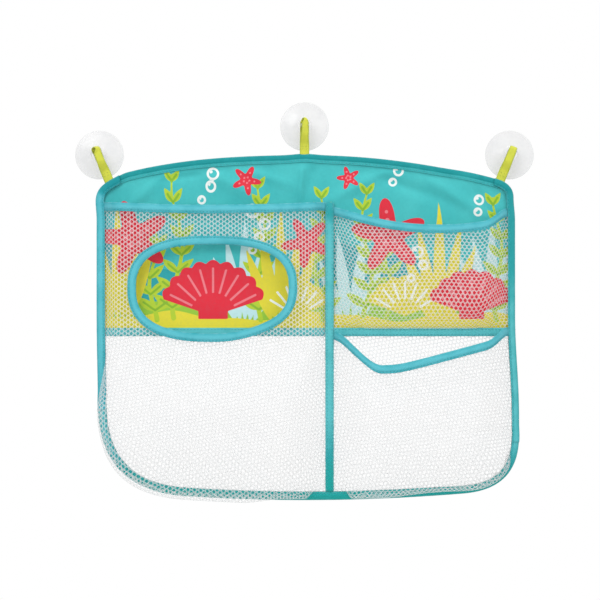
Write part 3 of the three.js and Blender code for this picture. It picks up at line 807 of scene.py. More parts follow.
def make_net(name, sheet, low, high, inside, angle):
    """A knitted net laid on a sheet's surface, with the cells whose middles pass the inside test."""
    to_place = unroller(sheet.cloth, low, high)
    middles = cell_middles(to_place.low, to_place.high, angle)

    def places(net):
        return to_place(turned(net, angle))

    middles = middles[inside(*places(middles))]
    corners, hole = net_cell(*NET_PITCH)
    keys = np.round((middles[:, None] + corners) / NET_GRAIN).astype(int).reshape(-1, 2)
    keys, cells = np.unique(keys, axis=0, return_inverse=True)
    joints = keys * NET_GRAIN
    x, z = places(joints)
    level = sheet.surface(x, z)
    lift = sheet.normal(x, z) * NET_YARN / 2
    holes = sheet.surface(*places((middles[:, None] + hole).reshape(-1, 2)))
    rings = 2 * len(joints) + np.arange(len(holes)).reshape(-1, len(hole))
    faces = net_faces(cells.reshape(-1, len(corners)), rings, len(joints))
    piece = make_piece(name, np.concatenate([level + lift, level - lift, holes]), faces, NET_YARN_CLOTH)
    piece.data.set_sharp_from_angle(angle=math.radians(60))
    return piece


def window_half(x, z):
    """Half the window's height. Its bottom sags, at the left and in the middle."""
    sag = WINDOW_SAG * (1 - smooth_share(x - WINDOW_X, 5, 60))
    return WINDOW_HEIGHT / 2 + np.where(z < WINDOW_Z, sag, 0)


def window_reach(x, z):
    """Below 0 inside the window, and about the distance from its edge in millimetres outside it."""
    across = np.abs(x - WINDOW_X) / (WINDOW_WIDTH / 2)
    up = np.abs(z - WINDOW_Z) / window_half(x, z)
    size = (across**WINDOW_ROUNDNESS + up**WINDOW_ROUNDNESS) ** (1 / WINDOW_ROUNDNESS)
    from_middle = np.hypot(x - WINDOW_X, z - WINDOW_Z)
    return from_middle * (1 - 1 / np.maximum(size, 1e-6))


def pocket_net(name, pocket, angle):
    """A pocket's net, which goes under the divider and into the bindings round it and round the window."""
    way = math.copysign(1, pocket.left - DIVIDER_X)

    def inside(x, z):
        beside = (way * (x - DIVIDER_X) > NET_SIDE) & (edge_distance(x, z) > NET_TUCK)
        upright = (z < pocket.rim(x) - NET_TUCK) & (z > pocket.foot)
        return beside & upright & (window_reach(x, z) > NET_TUCK)

    low = (pocket.left - 9, 0)
    high = (pocket.right + 9, SHOULDER_Z)
    piece = make_net(name + "_cloth", pocket, low, high, inside, angle)
    stand_for(piece, name)


pocket_net("left_pocket_net", LEFT_POCKET, 0)
pocket_net("upper_pocket_net", UPPER_POCKET, math.pi / 2)
pocket_net("lower_pocket_net", LOWER_POCKET, math.pi / 2)


# Back of the bag
FOLDS = [
    # middle (x, z), slant from level in degrees, half length, half width, height
    ((-3, 322), 84, 24, 3.5, 2.8),
    ((7, 320), 80, 20, 4.5, -2.0),
    ((-36, 322), -18, 26, 5, 1.8),
    ((-74, 315), -24, 40, 7, 2.4),
    ((-118, 322), 12, 34, 5, -2.2),
    ((-160, 306), 38, 26, 5, 2.4),
    ((60, 318), 28, 36, 6, 2.5),
    ((104, 312), -20, 40, 6, -2.4),
    ((150, 304), -34, 34, 6, 2.6),
    ((182, 292), -62, 30, 5, -2.2),
    ((-60, 246), 20, 60, 11, 1.3),
    ((-130, 214), -30, 60, 12, 1.3),
    ((90, 232), -15, 70, 12, 1.4),
    ((150, 214), 32, 60, 10, -1.2),
    ((-120, 92), 24, 80, 14, 1.5),
    ((-30, 70), -28, 80, 14, 1.5),
    ((110, 84), 18, 80, 14, -1.5),
]


def folded_out(x, z):
    """How far the slack folds of the hung cloth stand out."""
    total = 0
    for (fold_x, fold_z), slant, length, width, height in FOLDS:
        c, s = math.cos(math.radians(slant)), math.sin(math.radians(slant))
        along = (x - fold_x) * c + (z - fold_z) * s
        side = (z - fold_z) * c - (x - fold_x) * s
        total = total + height * np.exp(-((side / width) ** 2) - (along / length) ** 2)
    return total


class BackSheet:
    """The flat back, with folds that fade out towards its bindings."""

    held = "hung"

    def surface(self, x, z):
        fade = smooth_share(edge_distance(x, z), 8, 18) * smooth_share(np.abs(z - WAIST_Z), 5, 26)
        return bag_points(x, BAG_OUT + fade * folded_out(x, z), z)

    cloth = surface

    def normal(self, x, z):
        return np.broadcast_to(FORWARD, (*np.shape(x), 3))


def panel_grid(step):
    columns = np.linspace(-HALF_WIDTH + 2, HALF_WIDTH - 2, round(BAG_WIDTH / step))
    rows = np.linspace(0, 1, round((BAG_HEIGHT - TAPE_TOP) / step))
    x, share = np.meshgrid(columns, rows, indexing="ij")
    return x, mixed(TAPE_TOP - 2.5, top_z(x) - 2, share)


# Print: each shape is a distance to its edge, below 0 inside it
PANEL_STEP = 1.25  # of the panel's mesh
PANEL_CLOTH = 0.5  # thickness of the panel's cloth
FINEST = 2.2  # width of the finest line that the panel's mesh can show


def disc(x, z, at, radius):
    return np.hypot(x - at[0], z - at[1]) - radius


def ring(x, z, at, radius, line):
    return np.abs(disc(x, z, at, radius)) - line / 2


def off_line(x, z, foot, angle, length):
    """The distance from a line that leaves its foot at an angle from upright, and the share of it passed."""
    along = (x - foot[0]) * math.sin(angle) + (z - foot[1]) * math.cos(angle)
    side = (x - foot[0]) * math.cos(angle) - (z - foot[1]) * math.sin(angle)
    beyond = np.maximum(np.maximum(-along, along - length), 0)
    return np.hypot(side, beyond), np.clip(along / length, 0, 1)


def leaf(x, z, foot, angle, length, width):
    """A pointed leaf from its foot, at an angle from upright."""
    distance, share = off_line(x, z, foot, angle, length)
    return distance - width / 2 * np.sin(math.pi * share**0.8)


def about(x, z, foot):
    """The angle from upright and the distance of each place from a foot."""
    return np.arctan2(x - foot[0], z - foot[1]), np.hypot(x - foot[0], z - foot[1])


def star(x, z, at, radius, turn):
    angle, reach = about(x, z, at)
    arm = 0.5 + 0.5 * np.cos(5 * (angle + turn))
    return reach - radius * (0.42 + 0.58 * arm**1.4)


def star_dots(x, z, at, radius, turn):
    """A row of dots along each arm of a star, two on a small one."""
    dots = []
    count = 3 if radius > 20 else 2
    for arm, k in product(range(5), range(count)):
        angle = 2 * math.pi * arm / 5 - turn
        reach = radius * (0.2 + 0.66 / count * k)
        spot = (at[0] + reach * math.sin(angle), at[1] + reach * math.cos(angle))
        dots.append(disc(x, z, spot, max(radius * (0.07 - 0.012 * k), FINEST / 2)))
    return np.minimum.reduce(dots)


def fan(x, z, foot, radius, spread, ribs):
    """A scallop shell opening upwards from its foot, with a bump of its edge for each rib."""
    angle, reach = about(x, z, foot)
    bumps = np.abs(np.cos(angle / spread * ribs * math.pi / 2))
    edge = reach - radius * (0.95 + 0.07 * bumps)
    return np.maximum(edge, (np.abs(angle) - spread) * reach)


def fan_ribs(x, z, foot, radius, spread, ribs):
    """Lines up a scallop, between its bumps."""
    angle, reach = about(x, z, foot)
    gap = 2 * spread / ribs
    off = np.abs((angle / gap + 0.5 * (ribs % 2 == 0)) % 1 - 0.5) * gap
    line = (0.5 * gap - off) * reach - FINEST / 2
    past_ends = np.maximum(reach - 0.88 * radius, 0.42 * radius - reach)
    past_sides = (np.abs(angle) - 0.97 * spread) * reach
    return np.maximum(line, np.maximum(past_ends, past_sides))


def shell_hinge(x, z, foot, radius, *_):
    """The block at a shell's foot."""
    return np.maximum(np.abs(x - foot[0]) - 0.27 * radius, np.abs(z - foot[1] - 3) - 6)


def stalk_x(foot, up, sway):
    """Where a wavy stalk's middle is at a share of its height."""
    return foot[0] + sway * np.sin(2 * math.pi * up * 1.2 + foot[0])


def stalk(x, z, foot, height, sway, width):
    """A wavy stalk that narrows upwards."""
    up = np.clip((z - foot[1]) / height, 0, 1)
    beyond = np.maximum(np.maximum(foot[1] - z, z - foot[1] - height), 0)
    return np.hypot(x - stalk_x(foot, up, sway), beyond) - width / 2 * (1 - 0.65 * up)


def kelp_leaves(foot, height, sway):
    """Foot, angle from upright, length and width of each leaf of a plant."""
    pairs = round(height / 17)
    for k, side in product(range(pairs), (-1, 1)):
        up = (k + 0.6) / pairs
        joint = (stalk_x(foot, up, sway), foot[1] + up * height)
        yield joint, side * mixed(1.0, 0.55, up), 25 - 11 * up, 9 - 3 * up


def kelp(x, z, *plant):
    """A stalk with leaves to both sides."""
    leaves = [leaf(x, z, *place) for place in kelp_leaves(*plant)]
    return np.minimum.reduce([stalk(x, z, *plant, 5), *leaves])


def kelp_veins(x, z, *plant):
    """Midribs of a plant's leaves."""
    leaves = kelp_leaves(*plant)
    lines = [off_line(x, z, joint, angle, 0.6 * length)[0] for joint, angle, length, _ in leaves]
    return np.minimum.reduce(lines) - FINEST / 2


def ground(x, z, height, swell_height, length, shift):
    """All that lies below a wavy line."""
    waves = np.sin(x / length + shift) + 0.4 * np.sin(2.3 * x / length + 2 * shift)
    return z - (height + swell_height * waves)


def bubbles(x, z, foot, count, rise):
    """Bubbles that grow as they rise: rings with a glint in each."""
    shapes = []
    for k in range(count):
        radius = 3.4 + 0.9 * k
        at = (foot[0] + 7 * math.sin(2.1 * k + foot[0]), foot[1] + rise * k)
        glint = (at[0] - 0.35 * radius, at[1] + 0.35 * radius)
        shapes += [ring(x, z, at, radius, FINEST), disc(x, z, glint, 0.3 * radius)]
    return np.minimum.reduce(shapes)


def tuft(x, z, foot, height, count):
    """Pointed blades that fan out from one foot, the middle ones tallest."""
    blades = []
    for side in np.linspace(-1, 1, count):
        root = (foot[0] + 9 * side, foot[1])
        blades.append(leaf(x, z, root, 0.34 * side, height * (1 - 0.32 * abs(side)), 12))
    return np.minimum.reduce(blades)


# Foot, radius, half angle and number of ribs
RED_SHELLS = [((WINDOW_X, 184), 55, 1.25, 9), ((166, 184), 46, 1.2, 7)]
GOLD_SHELLS = [((100, 184), 40, 1.2, 7), ((-8, 184), 36, 1.2, 7)]
# Middle, radius and turn
STARS = [
    ((-172, 262), 38, 0.25),
    ((84, 264), 38, 0.1),
    ((2, 258), 26, 0.5),
    ((-58, 319), 15, 0.8),
    ((44, 322), 12, 0.3),
]
# Foot, height and number of blades
GOLD_TUFTS = [((-188, 178), 122, 5), ((-24, 178), 116, 5), ((134, 178), 122, 5)]
PALE_TUFTS = [((-60, 178), 104, 5), ((46, 178), 100, 4), ((186, 178), 104, 5)]
# Foot, height and sway
KELPS = [
    ((-128, 182), 140, 5),
    ((-152, 180), 96, -4),
    ((62, 184), 128, 5),
    ((84, 182), 84, -4),
    ((192, 180), 122, 4),
    ((-44, 180), 138, -4),
    ((14, 180), 128, 4),
]
# Foot, number and rise
BUBBLES = [
    ((-46, 250), 4, 13),
    ((112, 222), 3, 13),
    ((-96, 300), 3, 12),
    ((170, 288), 2, 12),
    ((88, 318), 2, 11),
]
# Inks, shapes and the places of each shape
MOTIFS = [
    ("ink_deep", ground, [(238, 18, 41, 0.4)]),
    ("ink_meadow", ground, [(208, 15, 33, 2.1)]),
    ("ink_sand", ground, [(184, 4, 24, 0.9)]),
    ("ink_pale", tuft, PALE_TUFTS),
    ("ink_lime", kelp, KELPS),
    ("ink_vein", kelp_veins, KELPS),
    ("ink_gold", tuft, GOLD_TUFTS),
    ("ink_gold", fan, GOLD_SHELLS),
    ("ink_white", fan_ribs, GOLD_SHELLS),
    ("ink_white", bubbles, BUBBLES),
    ("ink_red", fan, RED_SHELLS),
    ("ink_red", shell_hinge, RED_SHELLS),
    ("ink_red", star, STARS),
    ("ink_rose", fan_ribs, RED_SHELLS),
    ("ink_rose", star_dots, STARS),
]


def print_inks(x, z):
    """The distance to the edge of each ink's shapes."""
    inks = {ink: [] for ink in INKS}
    for ink, shape, places in MOTIFS:
        inks[ink] += [shape(x, z, *place) for place in places]
    return {ink: np.minimum.reduce(found) for ink, found in inks.items()}


def upper_panel():
    x, z = panel_grid(PANEL_STEP)
    level = BackSheet().surface(x, z).reshape(-1, 3)
    index = np.arange(x.size).reshape(x.shape)
    quads = np.stack([index[:-1, :-1], index[1:, :-1], index[1:, 1:], index[:-1, 1:]], axis=-1)
    piece = make_piece("upper_back_panel_cloth", level, quads.reshape(-1, 4).tolist(), PRINT_CLOTH)
    for name, values in print_inks(x, z).items():
        set_values(piece, name, np.clip(values, -50, 50))
    thick = piece.modifiers.new("thickness", "SOLIDIFY")
    thick.thickness = PANEL_CLOTH * MM
    thick.offset = 0
    thick.material_offset = 1
    piece.data.materials.append(REVERSE_CLOTH)
    stand_for(piece, "upper_back_panel")


upper_panel()


def lower_back():
    def inside(x, z):
        return (edge_distance(x, z) > NET_TUCK) & (z < WAIST_Z - 1)

    low = (-HALF_WIDTH, 0)
    high = (HALF_WIDTH, WAIST_Z)
    piece = make_net("lower_back_net_cloth", BackSheet(), low, high, inside, math.pi / 4)
    stand_for(piece, "lower_back_net")


lower_back()


# Tapes and bindings
def sweep(name, origin, across, out, section, material, closed=False):
    """A solid along a line. At each of its places, section's pairs are distances across the tape and out."""
    count, sides = len(origin), section.shape[-2]
    section = np.broadcast_to(section, (count, sides, 2))
    points = origin[:, None] + section[..., :1] * across[:, None] + section[..., 1:] * out[:, None]
    rings = np.arange(count * sides).reshape(count, sides)
    faces = tube_quads(rings, closed=True) if closed else tube_faces(rings)
    piece = make_solid(name, points.reshape(-1, 3), faces, material)
    set_values(piece, "along", np.repeat(path_lengths(origin), sides))
    set_values(piece, "across", np.tile(path_lengths(section[0]), count))
    return piece


FLAT_STEPS = 13  # places over each flat side of a folded tape
TURN_STEPS = 9  # places round its fold
FOLD_PUFF = 0.55  # how far its sides swell between the fold and the seam
SEAM_DIP = 0.35  # how deep the stitches pull it in
GROOVE_DIP = 0.5  # depth of a groove along it


def fold_section(width, back, front, groove):
    """Pairs of a tape folded over an edge: its outside from behind to the front, then its inside."""
    half = (front - back) / 2
    middle = (front + back) / 2
    flat = np.linspace(width, half, FLAT_STEPS)[:-1]
    turn = np.linspace(-math.pi / 2, math.pi / 2, TURN_STEPS)
    share = (flat - half) / (width - half)
    puff = FOLD_PUFF * np.sin(math.pi * share)
    puff = puff - SEAM_DIP * np.exp(-(((width - STITCH_INSET - flat) / 0.8) ** 2))
    if groove:
        puff = puff - GROOVE_DIP * np.exp(-(((flat - groove) / 0.6) ** 2))

    def side(reach):
        behind = np.stack([flat, middle - reach - puff], axis=1)
        around = np.stack([half - reach * np.cos(turn), middle + reach * np.sin(turn)], axis=1)
        ahead = np.stack([flat, middle + reach + puff], axis=1)[::-1]
        return np.concatenate([behind, around, ahead])

    return np.concatenate([side(half), side(half - FOLD_WALL)[::-1]])


def fold_wear(across):
    """1 at the fold and at the open edges of a folded tape, else 0."""
    return np.maximum(1 - across / 1.6, 1 - (BINDING_WIDTH - across) / 0.9).clip(0, 1)


# Painted highlight across a folded tape: lightest in the middle of each side, dark at its fold and at its
# open edge.
def soft_ridge(across):
    return np.sin(math.pi * np.clip(across / BINDING_WIDTH, 0, 1))


HEM_ROLL = 5.4  # width of the hem's rolled edge


def hem_ridge(across):
    """Painted highlight: the strip below the hem's rolled edge is painted lighter than the rolled edge."""
    return smooth_share(across, HEM_ROLL - 0.7, HEM_ROLL + 0.5)


def uneven(length, strength):
    """Small unevenness along a sewn tape."""
    return strength * (np.sin(length / 9.1) + 0.6 * np.sin(length / 3.7 + 1) + 0.8 * np.sin(length / 23 + 2))


def stitch_form():
    """One stitch, a short arched thread: rings of points along it, to its side and up."""
    steps = np.linspace(-1, 1, STITCH_RINGS)[:, None]
    turn = np.linspace(0, 2 * math.pi, STITCH_SIDES, endpoint=False)
    radius = STITCH_RADIUS * np.sqrt(1.05 - steps**2)
    arch = STITCH_ARCH * (1 - steps**2) - STITCH_SINK
    along = np.broadcast_to(steps * STITCH / 2, (STITCH_RINGS, STITCH_SIDES))
    return np.stack([along, radius * np.cos(turn), arch + radius * np.sin(turn)], axis=-1)


def stitch_row(name, line, across, out, material, body="bag"):
    """A row of stitches along a line that lies on a cloth."""
    lengths = path_lengths(line)
    spots = np.arange(STITCH_PITCH / 2, lengths[-1], STITCH_PITCH)

    def at(values):
        return np.stack([np.interp(spots, lengths, column) for column in values.T], axis=1)

    along = unit(at(np.gradient(line, axis=0)))
    basis = np.stack([along, unit(at(across)), unit(at(out))], axis=1)
    points = at(line)[:, None, None] + np.einsum("abk,nkc->nabc", stitch_form(), basis)
    numbers = np.arange(points.size // 3).reshape(points.shape[:3])
    faces = [face for rings in numbers for face in tube_faces(rings)]
    piece = make_solid(name, points.reshape(-1, 3), faces, material)
    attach(piece, body)


def bag_frames(line, ways):
    """Places on the wall behind a line of (x, z) pairs, the ways across the line, and the way out."""
    origin = bag_points(line[:, 0], 0.0, line[:, 1])
    return origin, np.insert(ways, 1, 0.0, axis=1), np.tile(FORWARD, (len(line), 1))


def toned(tone, ridge):
    """Painted light at each place along a tape and across it: the painted highlight across it, scaled by
    tone where that is up to 1, and painted deeper where tone is below 0, as in folded_tape.
    """
    return np.clip(tone, 0, 1)[:, None] * ridge + np.clip(tone, -1, 0)[:, None]


def tape_piece(node, frames, section, material, wear_and_edge_shade, ridge, closed=False):
    """A tape swept along a line, with the values that its finish takes."""
    piece = sweep(node + "_tape", *frames, section, material, closed)
    set_values(piece, "wear_and_edge_shade", np.tile(wear_and_edge_shade, len(frames[0])))
    set_values(piece, "ridge", ridge)
    stand_for(piece, node)
    return piece


def folded_tape(node, frames, levels, material, slot="binding", closed=False, grow=None, groove=None,
                ridge=soft_ridge, tone=1.0, spread=1.0):
    """A tape folded over an edge and sewn down along its open edges, with stitches in front and behind.

    tone, along it, sets its painted light: 1 where its painted highlight is light, 0 where that is dark and
    -1 where the whole tape is painted deep.
    spread, along it, is the share of its width that it is sewn to.
    """
    origin, across, out = frames
    back, front = levels
    lengths = path_lengths(origin)
    origin = origin + out * uneven(lengths, 0.12)[:, None]
    section = fold_section(BINDING_WIDTH, back, front, groove)
    sections = np.repeat(section[None], len(origin), axis=0)
    spread = np.broadcast_to(spread, len(origin))
    sections[..., 0] *= spread[:, None]
    if grow is not None:
        sections[..., 0] -= grow[:, None]
        sections[..., 1] += grow[:, None] * np.sign(section[:, 1] - (front + back) / 2)
    wear_and_edge_shade = fold_wear(section[:, 0])
    # Painted highlight across the tape and painted shade along it, for its finish.
    lightness = toned(np.broadcast_to(tone, len(origin)), ridge(section[:, 0]))
    piece = tape_piece(node, (origin, across, out), sections, material, wear_and_edge_shade, lightness, closed)
    seam = origin + across * (spread * (BINDING_WIDTH - STITCH_INSET))[:, None]
    stitch_row(node + "_stitches", seam + out * (front + 0.05), across, out, TEAL_THREAD)
    stitch_row(node + "_back_stitches", seam + out * (back - 0.05), across, -out, TEAL_THREAD)


LAP = 3  # places of a side binding that lap over the binding it meets


def edge_binding(side, front, material, laps=None, tone=None, **looks):
    """A binding along one line of the outline. laps names the bindings that its two ends lap over."""
    line = EDGES[side]
    grow = None
    if laps:
        before, after = EDGES[laps[0]], EDGES[laps[1]]
        line = np.concatenate([before[-LAP - 1 : -1], line, after[1 : LAP + 1]])
        from_end = np.minimum(np.arange(len(line)), np.arange(len(line))[::-1])
        grow = 0.35 * (1 - smooth_share(from_end, LAP, LAP + 8))
    frames = bag_frames(line, inward_normals(line))
    looks["tone"] = tone(line[:, 1]) if tone else 1.0
    folded_tape(side + "_binding", frames, (BINDING_BACK, front), material, grow=grow, **looks)


def round_corner(z):
    """1 where a side binding goes round the top corner, as deep there as the hem that it meets."""
    return smooth_share(z, SHOULDER_Z - 12, SHOULDER_Z - 2)


def left_tone(z):
    return mixed(1, -1, round_corner(z))


# Painted shade: the right binding is painted darker from z 170 up to 260, and round the top corner as deep
# as the hem.
def right_tone(z):
    return mixed(mixed(0.9, -0.3, smooth_share(z, 170, 260)), -1, round_corner(z))


# Painted shade: the bottom binding is painted deep low down, where it lies in the shade of the bellies.
def bottom_tone(z):
    return mixed(-0.8, 0.9, smooth_share(z, 14, 62))


bottom_spread = mixed(1, RIGHT_SPREAD, smooth_share(EDGES["bottom"][:, 0], 100, 190))
edge_binding("top", HEM_FRONT, HEM_CLOTH, slot="hem", groove=HEM_ROLL, ridge=hem_ridge)
edge_binding("bottom", BINDING_FRONT, TAPE_CLOTH, tone=bottom_tone, spread=bottom_spread)
edge_binding("left", BINDING_FRONT, BINDING_CLOTH, ("top", "bottom"), left_tone)
edge_binding("right", BINDING_FRONT, SIDE_CLOTH, ("bottom", "top"), right_tone, spread=RIGHT_SPREAD)


def net_frames(pocket, x, z, toward_x, toward_z):
    """Points on a pocket's net, the direction over it towards other places, and the way out of it."""
    origin = pocket.surface(x, z)
    out = pocket.normal(x, z)
    across = unit(pocket.surface(toward_x, toward_z) - origin)
    return origin, across, out


RIM_TUCK = 2.6  # how far a rim's ends go under the tapes beside it


def pocket_rim(node, pocket):
    x = np.arange(pocket.left - RIM_TUCK, pocket.right + RIM_TUCK + 0.1, SWEEP_STEP)
    top = pocket.rim(x)
    origin, across, out = net_frames(pocket, x, top, x, top - BINDING_WIDTH)
    ends = np.minimum(x - x[0], x[-1] - x)
    thin = mixed(0.42, 1, smooth_share(ends, 1.5, 7))
    frames = (origin, across, out * thin[:, None])
    folded_tape(node, frames, (-FOLD_HALF, FOLD_HALF), BINDING_CLOTH)


pocket_rim("left_pocket_rim", LEFT_POCKET)
pocket_rim("upper_pocket_rim", UPPER_POCKET)
pocket_rim("lower_pocket_rim", LOWER_POCKET)


def window_binding():
    angle = np.linspace(0, 2 * math.pi, 721)
    bend = 2 / WINDOW_ROUNDNESS
    c, s = np.cos(angle), np.sin(angle)
    x = WINDOW_X + WINDOW_WIDTH / 2 * np.sign(c) * np.abs(c) ** bend
    z = WINDOW_Z + window_half(x, WINDOW_Z + s) * np.sign(s) * np.abs(s) ** bend
    line = resampled(np.stack([x, z], axis=1), SWEEP_STEP)[:-1]
    ahead = np.roll(line, -1, axis=0) - np.roll(line, 1, axis=0)
    away = line + unit(np.stack([ahead[:, 1], -ahead[:, 0]], axis=1)) * BINDING_WIDTH
    frames = net_frames(LEFT_POCKET, *line.T, *away.T)
    folded_tape("window_binding", frames, (-FOLD_HALF, FOLD_HALF), BINDING_CLOTH, closed=True)


window_binding()


TAPE_POINTS = 11  # places across each face of a flat tape


def flat_section(width, back, front):
    """Pairs of a flat tape, a little crowned, with rounded woven edges."""
    across = np.linspace(-width / 2, width / 2, TAPE_POINTS)
    share = 2 * across / width
    crown = 0.3 * (1 - share**2)
    edge = 0.3 * (front - back) * share**6
    ahead = np.stack([across, front + crown - edge], axis=1)
    behind = np.stack([across, back + edge], axis=1)
    return np.concatenate([ahead, behind[::-1]])


def flat_tape(node, start, end, back, front, tone=None):
    """A straight flat tape between two (x, z) places, sewn down along both edges."""
    line = resampled(np.array([start, end], float), SWEEP_STEP)
    origin, across, out = bag_frames(line, -inward_normals(line))
    origin = origin + out * (0.15 + uneven(path_lengths(origin), 0.08))[:, None]
    section = flat_section(TAPE_WIDTH, back, front)
    # Wear along the tape's edges, which are also painted in shade, with a painted highlight along its
    # middle.
    wear_and_edge_shade = smooth_share(np.abs(section[:, 0]), 0.36 * TAPE_WIDTH, 0.5 * TAPE_WIDTH)
    lightness = tone(line[:, 1]) if tone else np.ones(len(line))
    ridge = toned(lightness, 1 - wear_and_edge_shade)
    tape_piece(node, (origin, across, out), section, TAPE_CLOTH, wear_and_edge_shade, ridge)
    for side, name in ((-1, "_stitches_a"), (1, "_stitches_b")):
        seam = origin + across * side * (TAPE_WIDTH / 2 - STITCH_INSET) + out * (front + 0.15)
        stitch_row(node + name, seam, across, out, TEAL_THREAD)


BASE_TAPE_END = 198  # under the lower rim's right end
DIVIDER_FOOT = float(arch_drop(DIVIDER_X, BOTTOM_CROWN)) + BINDING_WIDTH + FIT


def divider_tone(z):
    """Darkest at the divider's foot, in the shade between the bellies, and less light at its top."""
    return mixed(-1, 1, smooth_share(z, 10, 90)) - 0.9 * smooth_share(z, 262, 290)


def straight_tapes():
    foot = (DIVIDER_X, DIVIDER_FOOT)
    head = (DIVIDER_X, LEFT_RIM_Z)
    flat_tape("divider_tape", foot, head, TAPE_BACK, TAPE_BACK + TAPE, divider_tone)
    start = (DIVIDER_X + TAPE_WIDTH / 2 + FIT, WAIST_Z)
    end = (BASE_TAPE_END, WAIST_Z)
    flat_tape("upper_pocket_base_tape", start, end, TAPE_BACK, TAPE_BACK + TAPE)
    left = (-HALF_WIDTH + 1, WAIST_Z)
    right = (HALF_WIDTH - 1, WAIST_Z)
    flat_tape("waist_band", left, right, WAIST_BACK, WAIST_FRONT)


straight_tapes()


# Hangers: a ribbon loop and a suction cup on each
LOOP_RISE = 28
LOOP_TOP = 8
LOOP_STUB = 9
LOOP_TAIL = 6  # sewn into the hem
FOLD_REACH = 1.6  # the ribbon bends over this length to both sides of the hem's edge
TACK_HEIGHTS = (4.8, 7.4)
RIBBON = 1.0
RIBBON_WIDTH = 9.4
RIBBON_NECK = {"left": 8, "centre": 7.6, "right": 8.2}  # width at the cup's slot
LOOP_TWIST = {"left": -10, "centre": -22, "right": 5}  # degrees, up to the cup's bar
END_TWIST = {"left": -50, "centre": -8, "right": 0}  # degrees more, from the bar to the loop's end
LOOP_POINT = {"left": 0, "centre": 0.6, "right": 0.12}  # share of the width that is gone at the loop's end
CUP_RADIUS = 24.5
CUP_SEAL = 7.5
CUP_RIM = 0.9
CUP_HOLLOW = 2.4
CUP_DOME = 5.5
KNOB_RADIUS = 6.7
KNOB_TOP = 16.2
SLOT_HALF = 4.3
SLOT_REACH = 30  # past the knob on all sides
BAR_RADIUS = 2
BAR_OUT = 13
BAR_HALF = 5.6


def hinge(name):
    return next(joint for joint in frame["joints"] if joint["name"] == name)


def hanger_axes(side):
    """Where a loop folds at the hem, the way across it and the way up it, in millimetres of the frame."""
    fold = hinge(side + "_loop_fold")
    foot = np.array(fold["pos_m"]) / MM
    across = unit(np.array(fold["axis"], float))
    up = np.array([-across[2], 0, across[0]])
    return foot, across, up


def loop_path():
    """Middle line of the ribbon as (out, up) pairs: from the hem up behind the bar, and down in front."""
    bar = BAR_OUT - BAG_OUT
    reach = BAR_RADIUS + FIT + RIBBON / 2
    turn = LOOP_RISE + LOOP_TOP - reach - RIBBON / 2
    angle = np.linspace(math.pi, 0, 17)
    end = np.stack([bar + reach * np.cos(angle), turn + reach * np.sin(angle)], axis=1)
    half = RIBBON / 2 + 0.02
    parting = LOOP_RISE - KNOB_RADIUS
    up_share = np.linspace(0, 1, 17)[:, None]
    ease = smooth_share(up_share, 0, 1)
    rise = mixed(LOOP_STUB - 1, parting, up_share)
    behind = np.concatenate([mixed(-half, bar - reach, ease), rise], axis=1)
    ahead = np.concatenate([mixed(half, bar + reach, ease), rise], axis=1)
    rising = np.array([[-half, -LOOP_TAIL]])
    falling = np.array([[half, -LOOP_TAIL]])
    return resampled(np.concatenate([rising, behind, end, ahead[::-1], falling]), 0.8)


def ribbon_frames(side, path):
    """Places along a loop's twisted ribbon, the ways across it there, and the ways out of it."""
    foot, across, up = hanger_axes(side)
    height = path[:, 1]
    bar = BAR_OUT - BAG_OUT
    twist = math.radians(LOOP_TWIST[side]) * smooth_share(height, LOOP_STUB, LOOP_RISE)
    twist = twist + math.radians(END_TWIST[side]) * smooth_share(height, LOOP_RISE, LOOP_RISE + LOOP_TOP - 2)
    c, s = np.cos(twist)[:, None], np.sin(twist)[:, None]
    across_here = c * across + s * FORWARD
    forward_here = c * FORWARD - s * across
    origin = foot + height[:, None] * up + bar * FORWARD + (path[:, :1] - bar) * forward_here
    along = unit(np.gradient(path, axis=0))
    return origin, across_here, -along[:, 1:] * forward_here + along[:, :1] * up


def ribbon_width(side, height):
    """Narrower in the cup's slot, and at the end of some loops narrower still."""
    neck = mixed(RIBBON_WIDTH, RIBBON_NECK[side], smooth_share(height, LOOP_STUB, LOOP_RISE - 6))
    point = smooth_share(height, LOOP_RISE + 1, LOOP_RISE + LOOP_TOP)
    return neck * (1 - LOOP_POINT[side] * point)


def ribbon_loop(side):
    path = loop_path()
    section = flat_section(1, -RIBBON / 2, RIBBON / 2 - 0.25)
    sections = np.repeat(section[None], len(path), axis=0)
    sections[..., 0] *= ribbon_width(side, path[:, 1])[:, None]
    piece = sweep(side + "_loop_ribbon", *ribbon_frames(side, path), sections, RIBBON_CLOTH)
    set_values(piece, "across", sections[..., 0])
    # Painted shade along the ribbon's edges, as values for its finish.
    set_values(piece, "wear_and_edge_shade", np.tile(smooth_share(np.abs(section[:, 0]), 0.3, 0.5), len(path)))
    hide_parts(side + "_loop")
    foot, _, up = hanger_axes(side)
    start = (foot - FOLD_REACH * up) * MM
    end = (foot + FOLD_REACH * up) * MM
    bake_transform(piece, "bag", side + "_hanger", start=start, end=end)


def loop_tacks(side):
    """Rows of stitches that hold the ribbon's two layers together above the hem, in front and behind."""
    foot, across, up = hanger_axes(side)
    half = RIBBON_WIDTH / 2 - 1
    row = foot + np.linspace(-half, half, 12)[:, None] * across
    for k, height in enumerate(TACK_HEIGHTS):
        for name, way in (("front", FORWARD), ("back", -FORWARD)):
            line = row + height * up + way * (RIBBON + 0.1)
            ways = (np.broadcast_to(up, line.shape), np.broadcast_to(way, line.shape))
            stitch_row(f"{side}_loop_tack_{name}_{k}", line, *ways, LIME_THREAD, side + "_hanger")


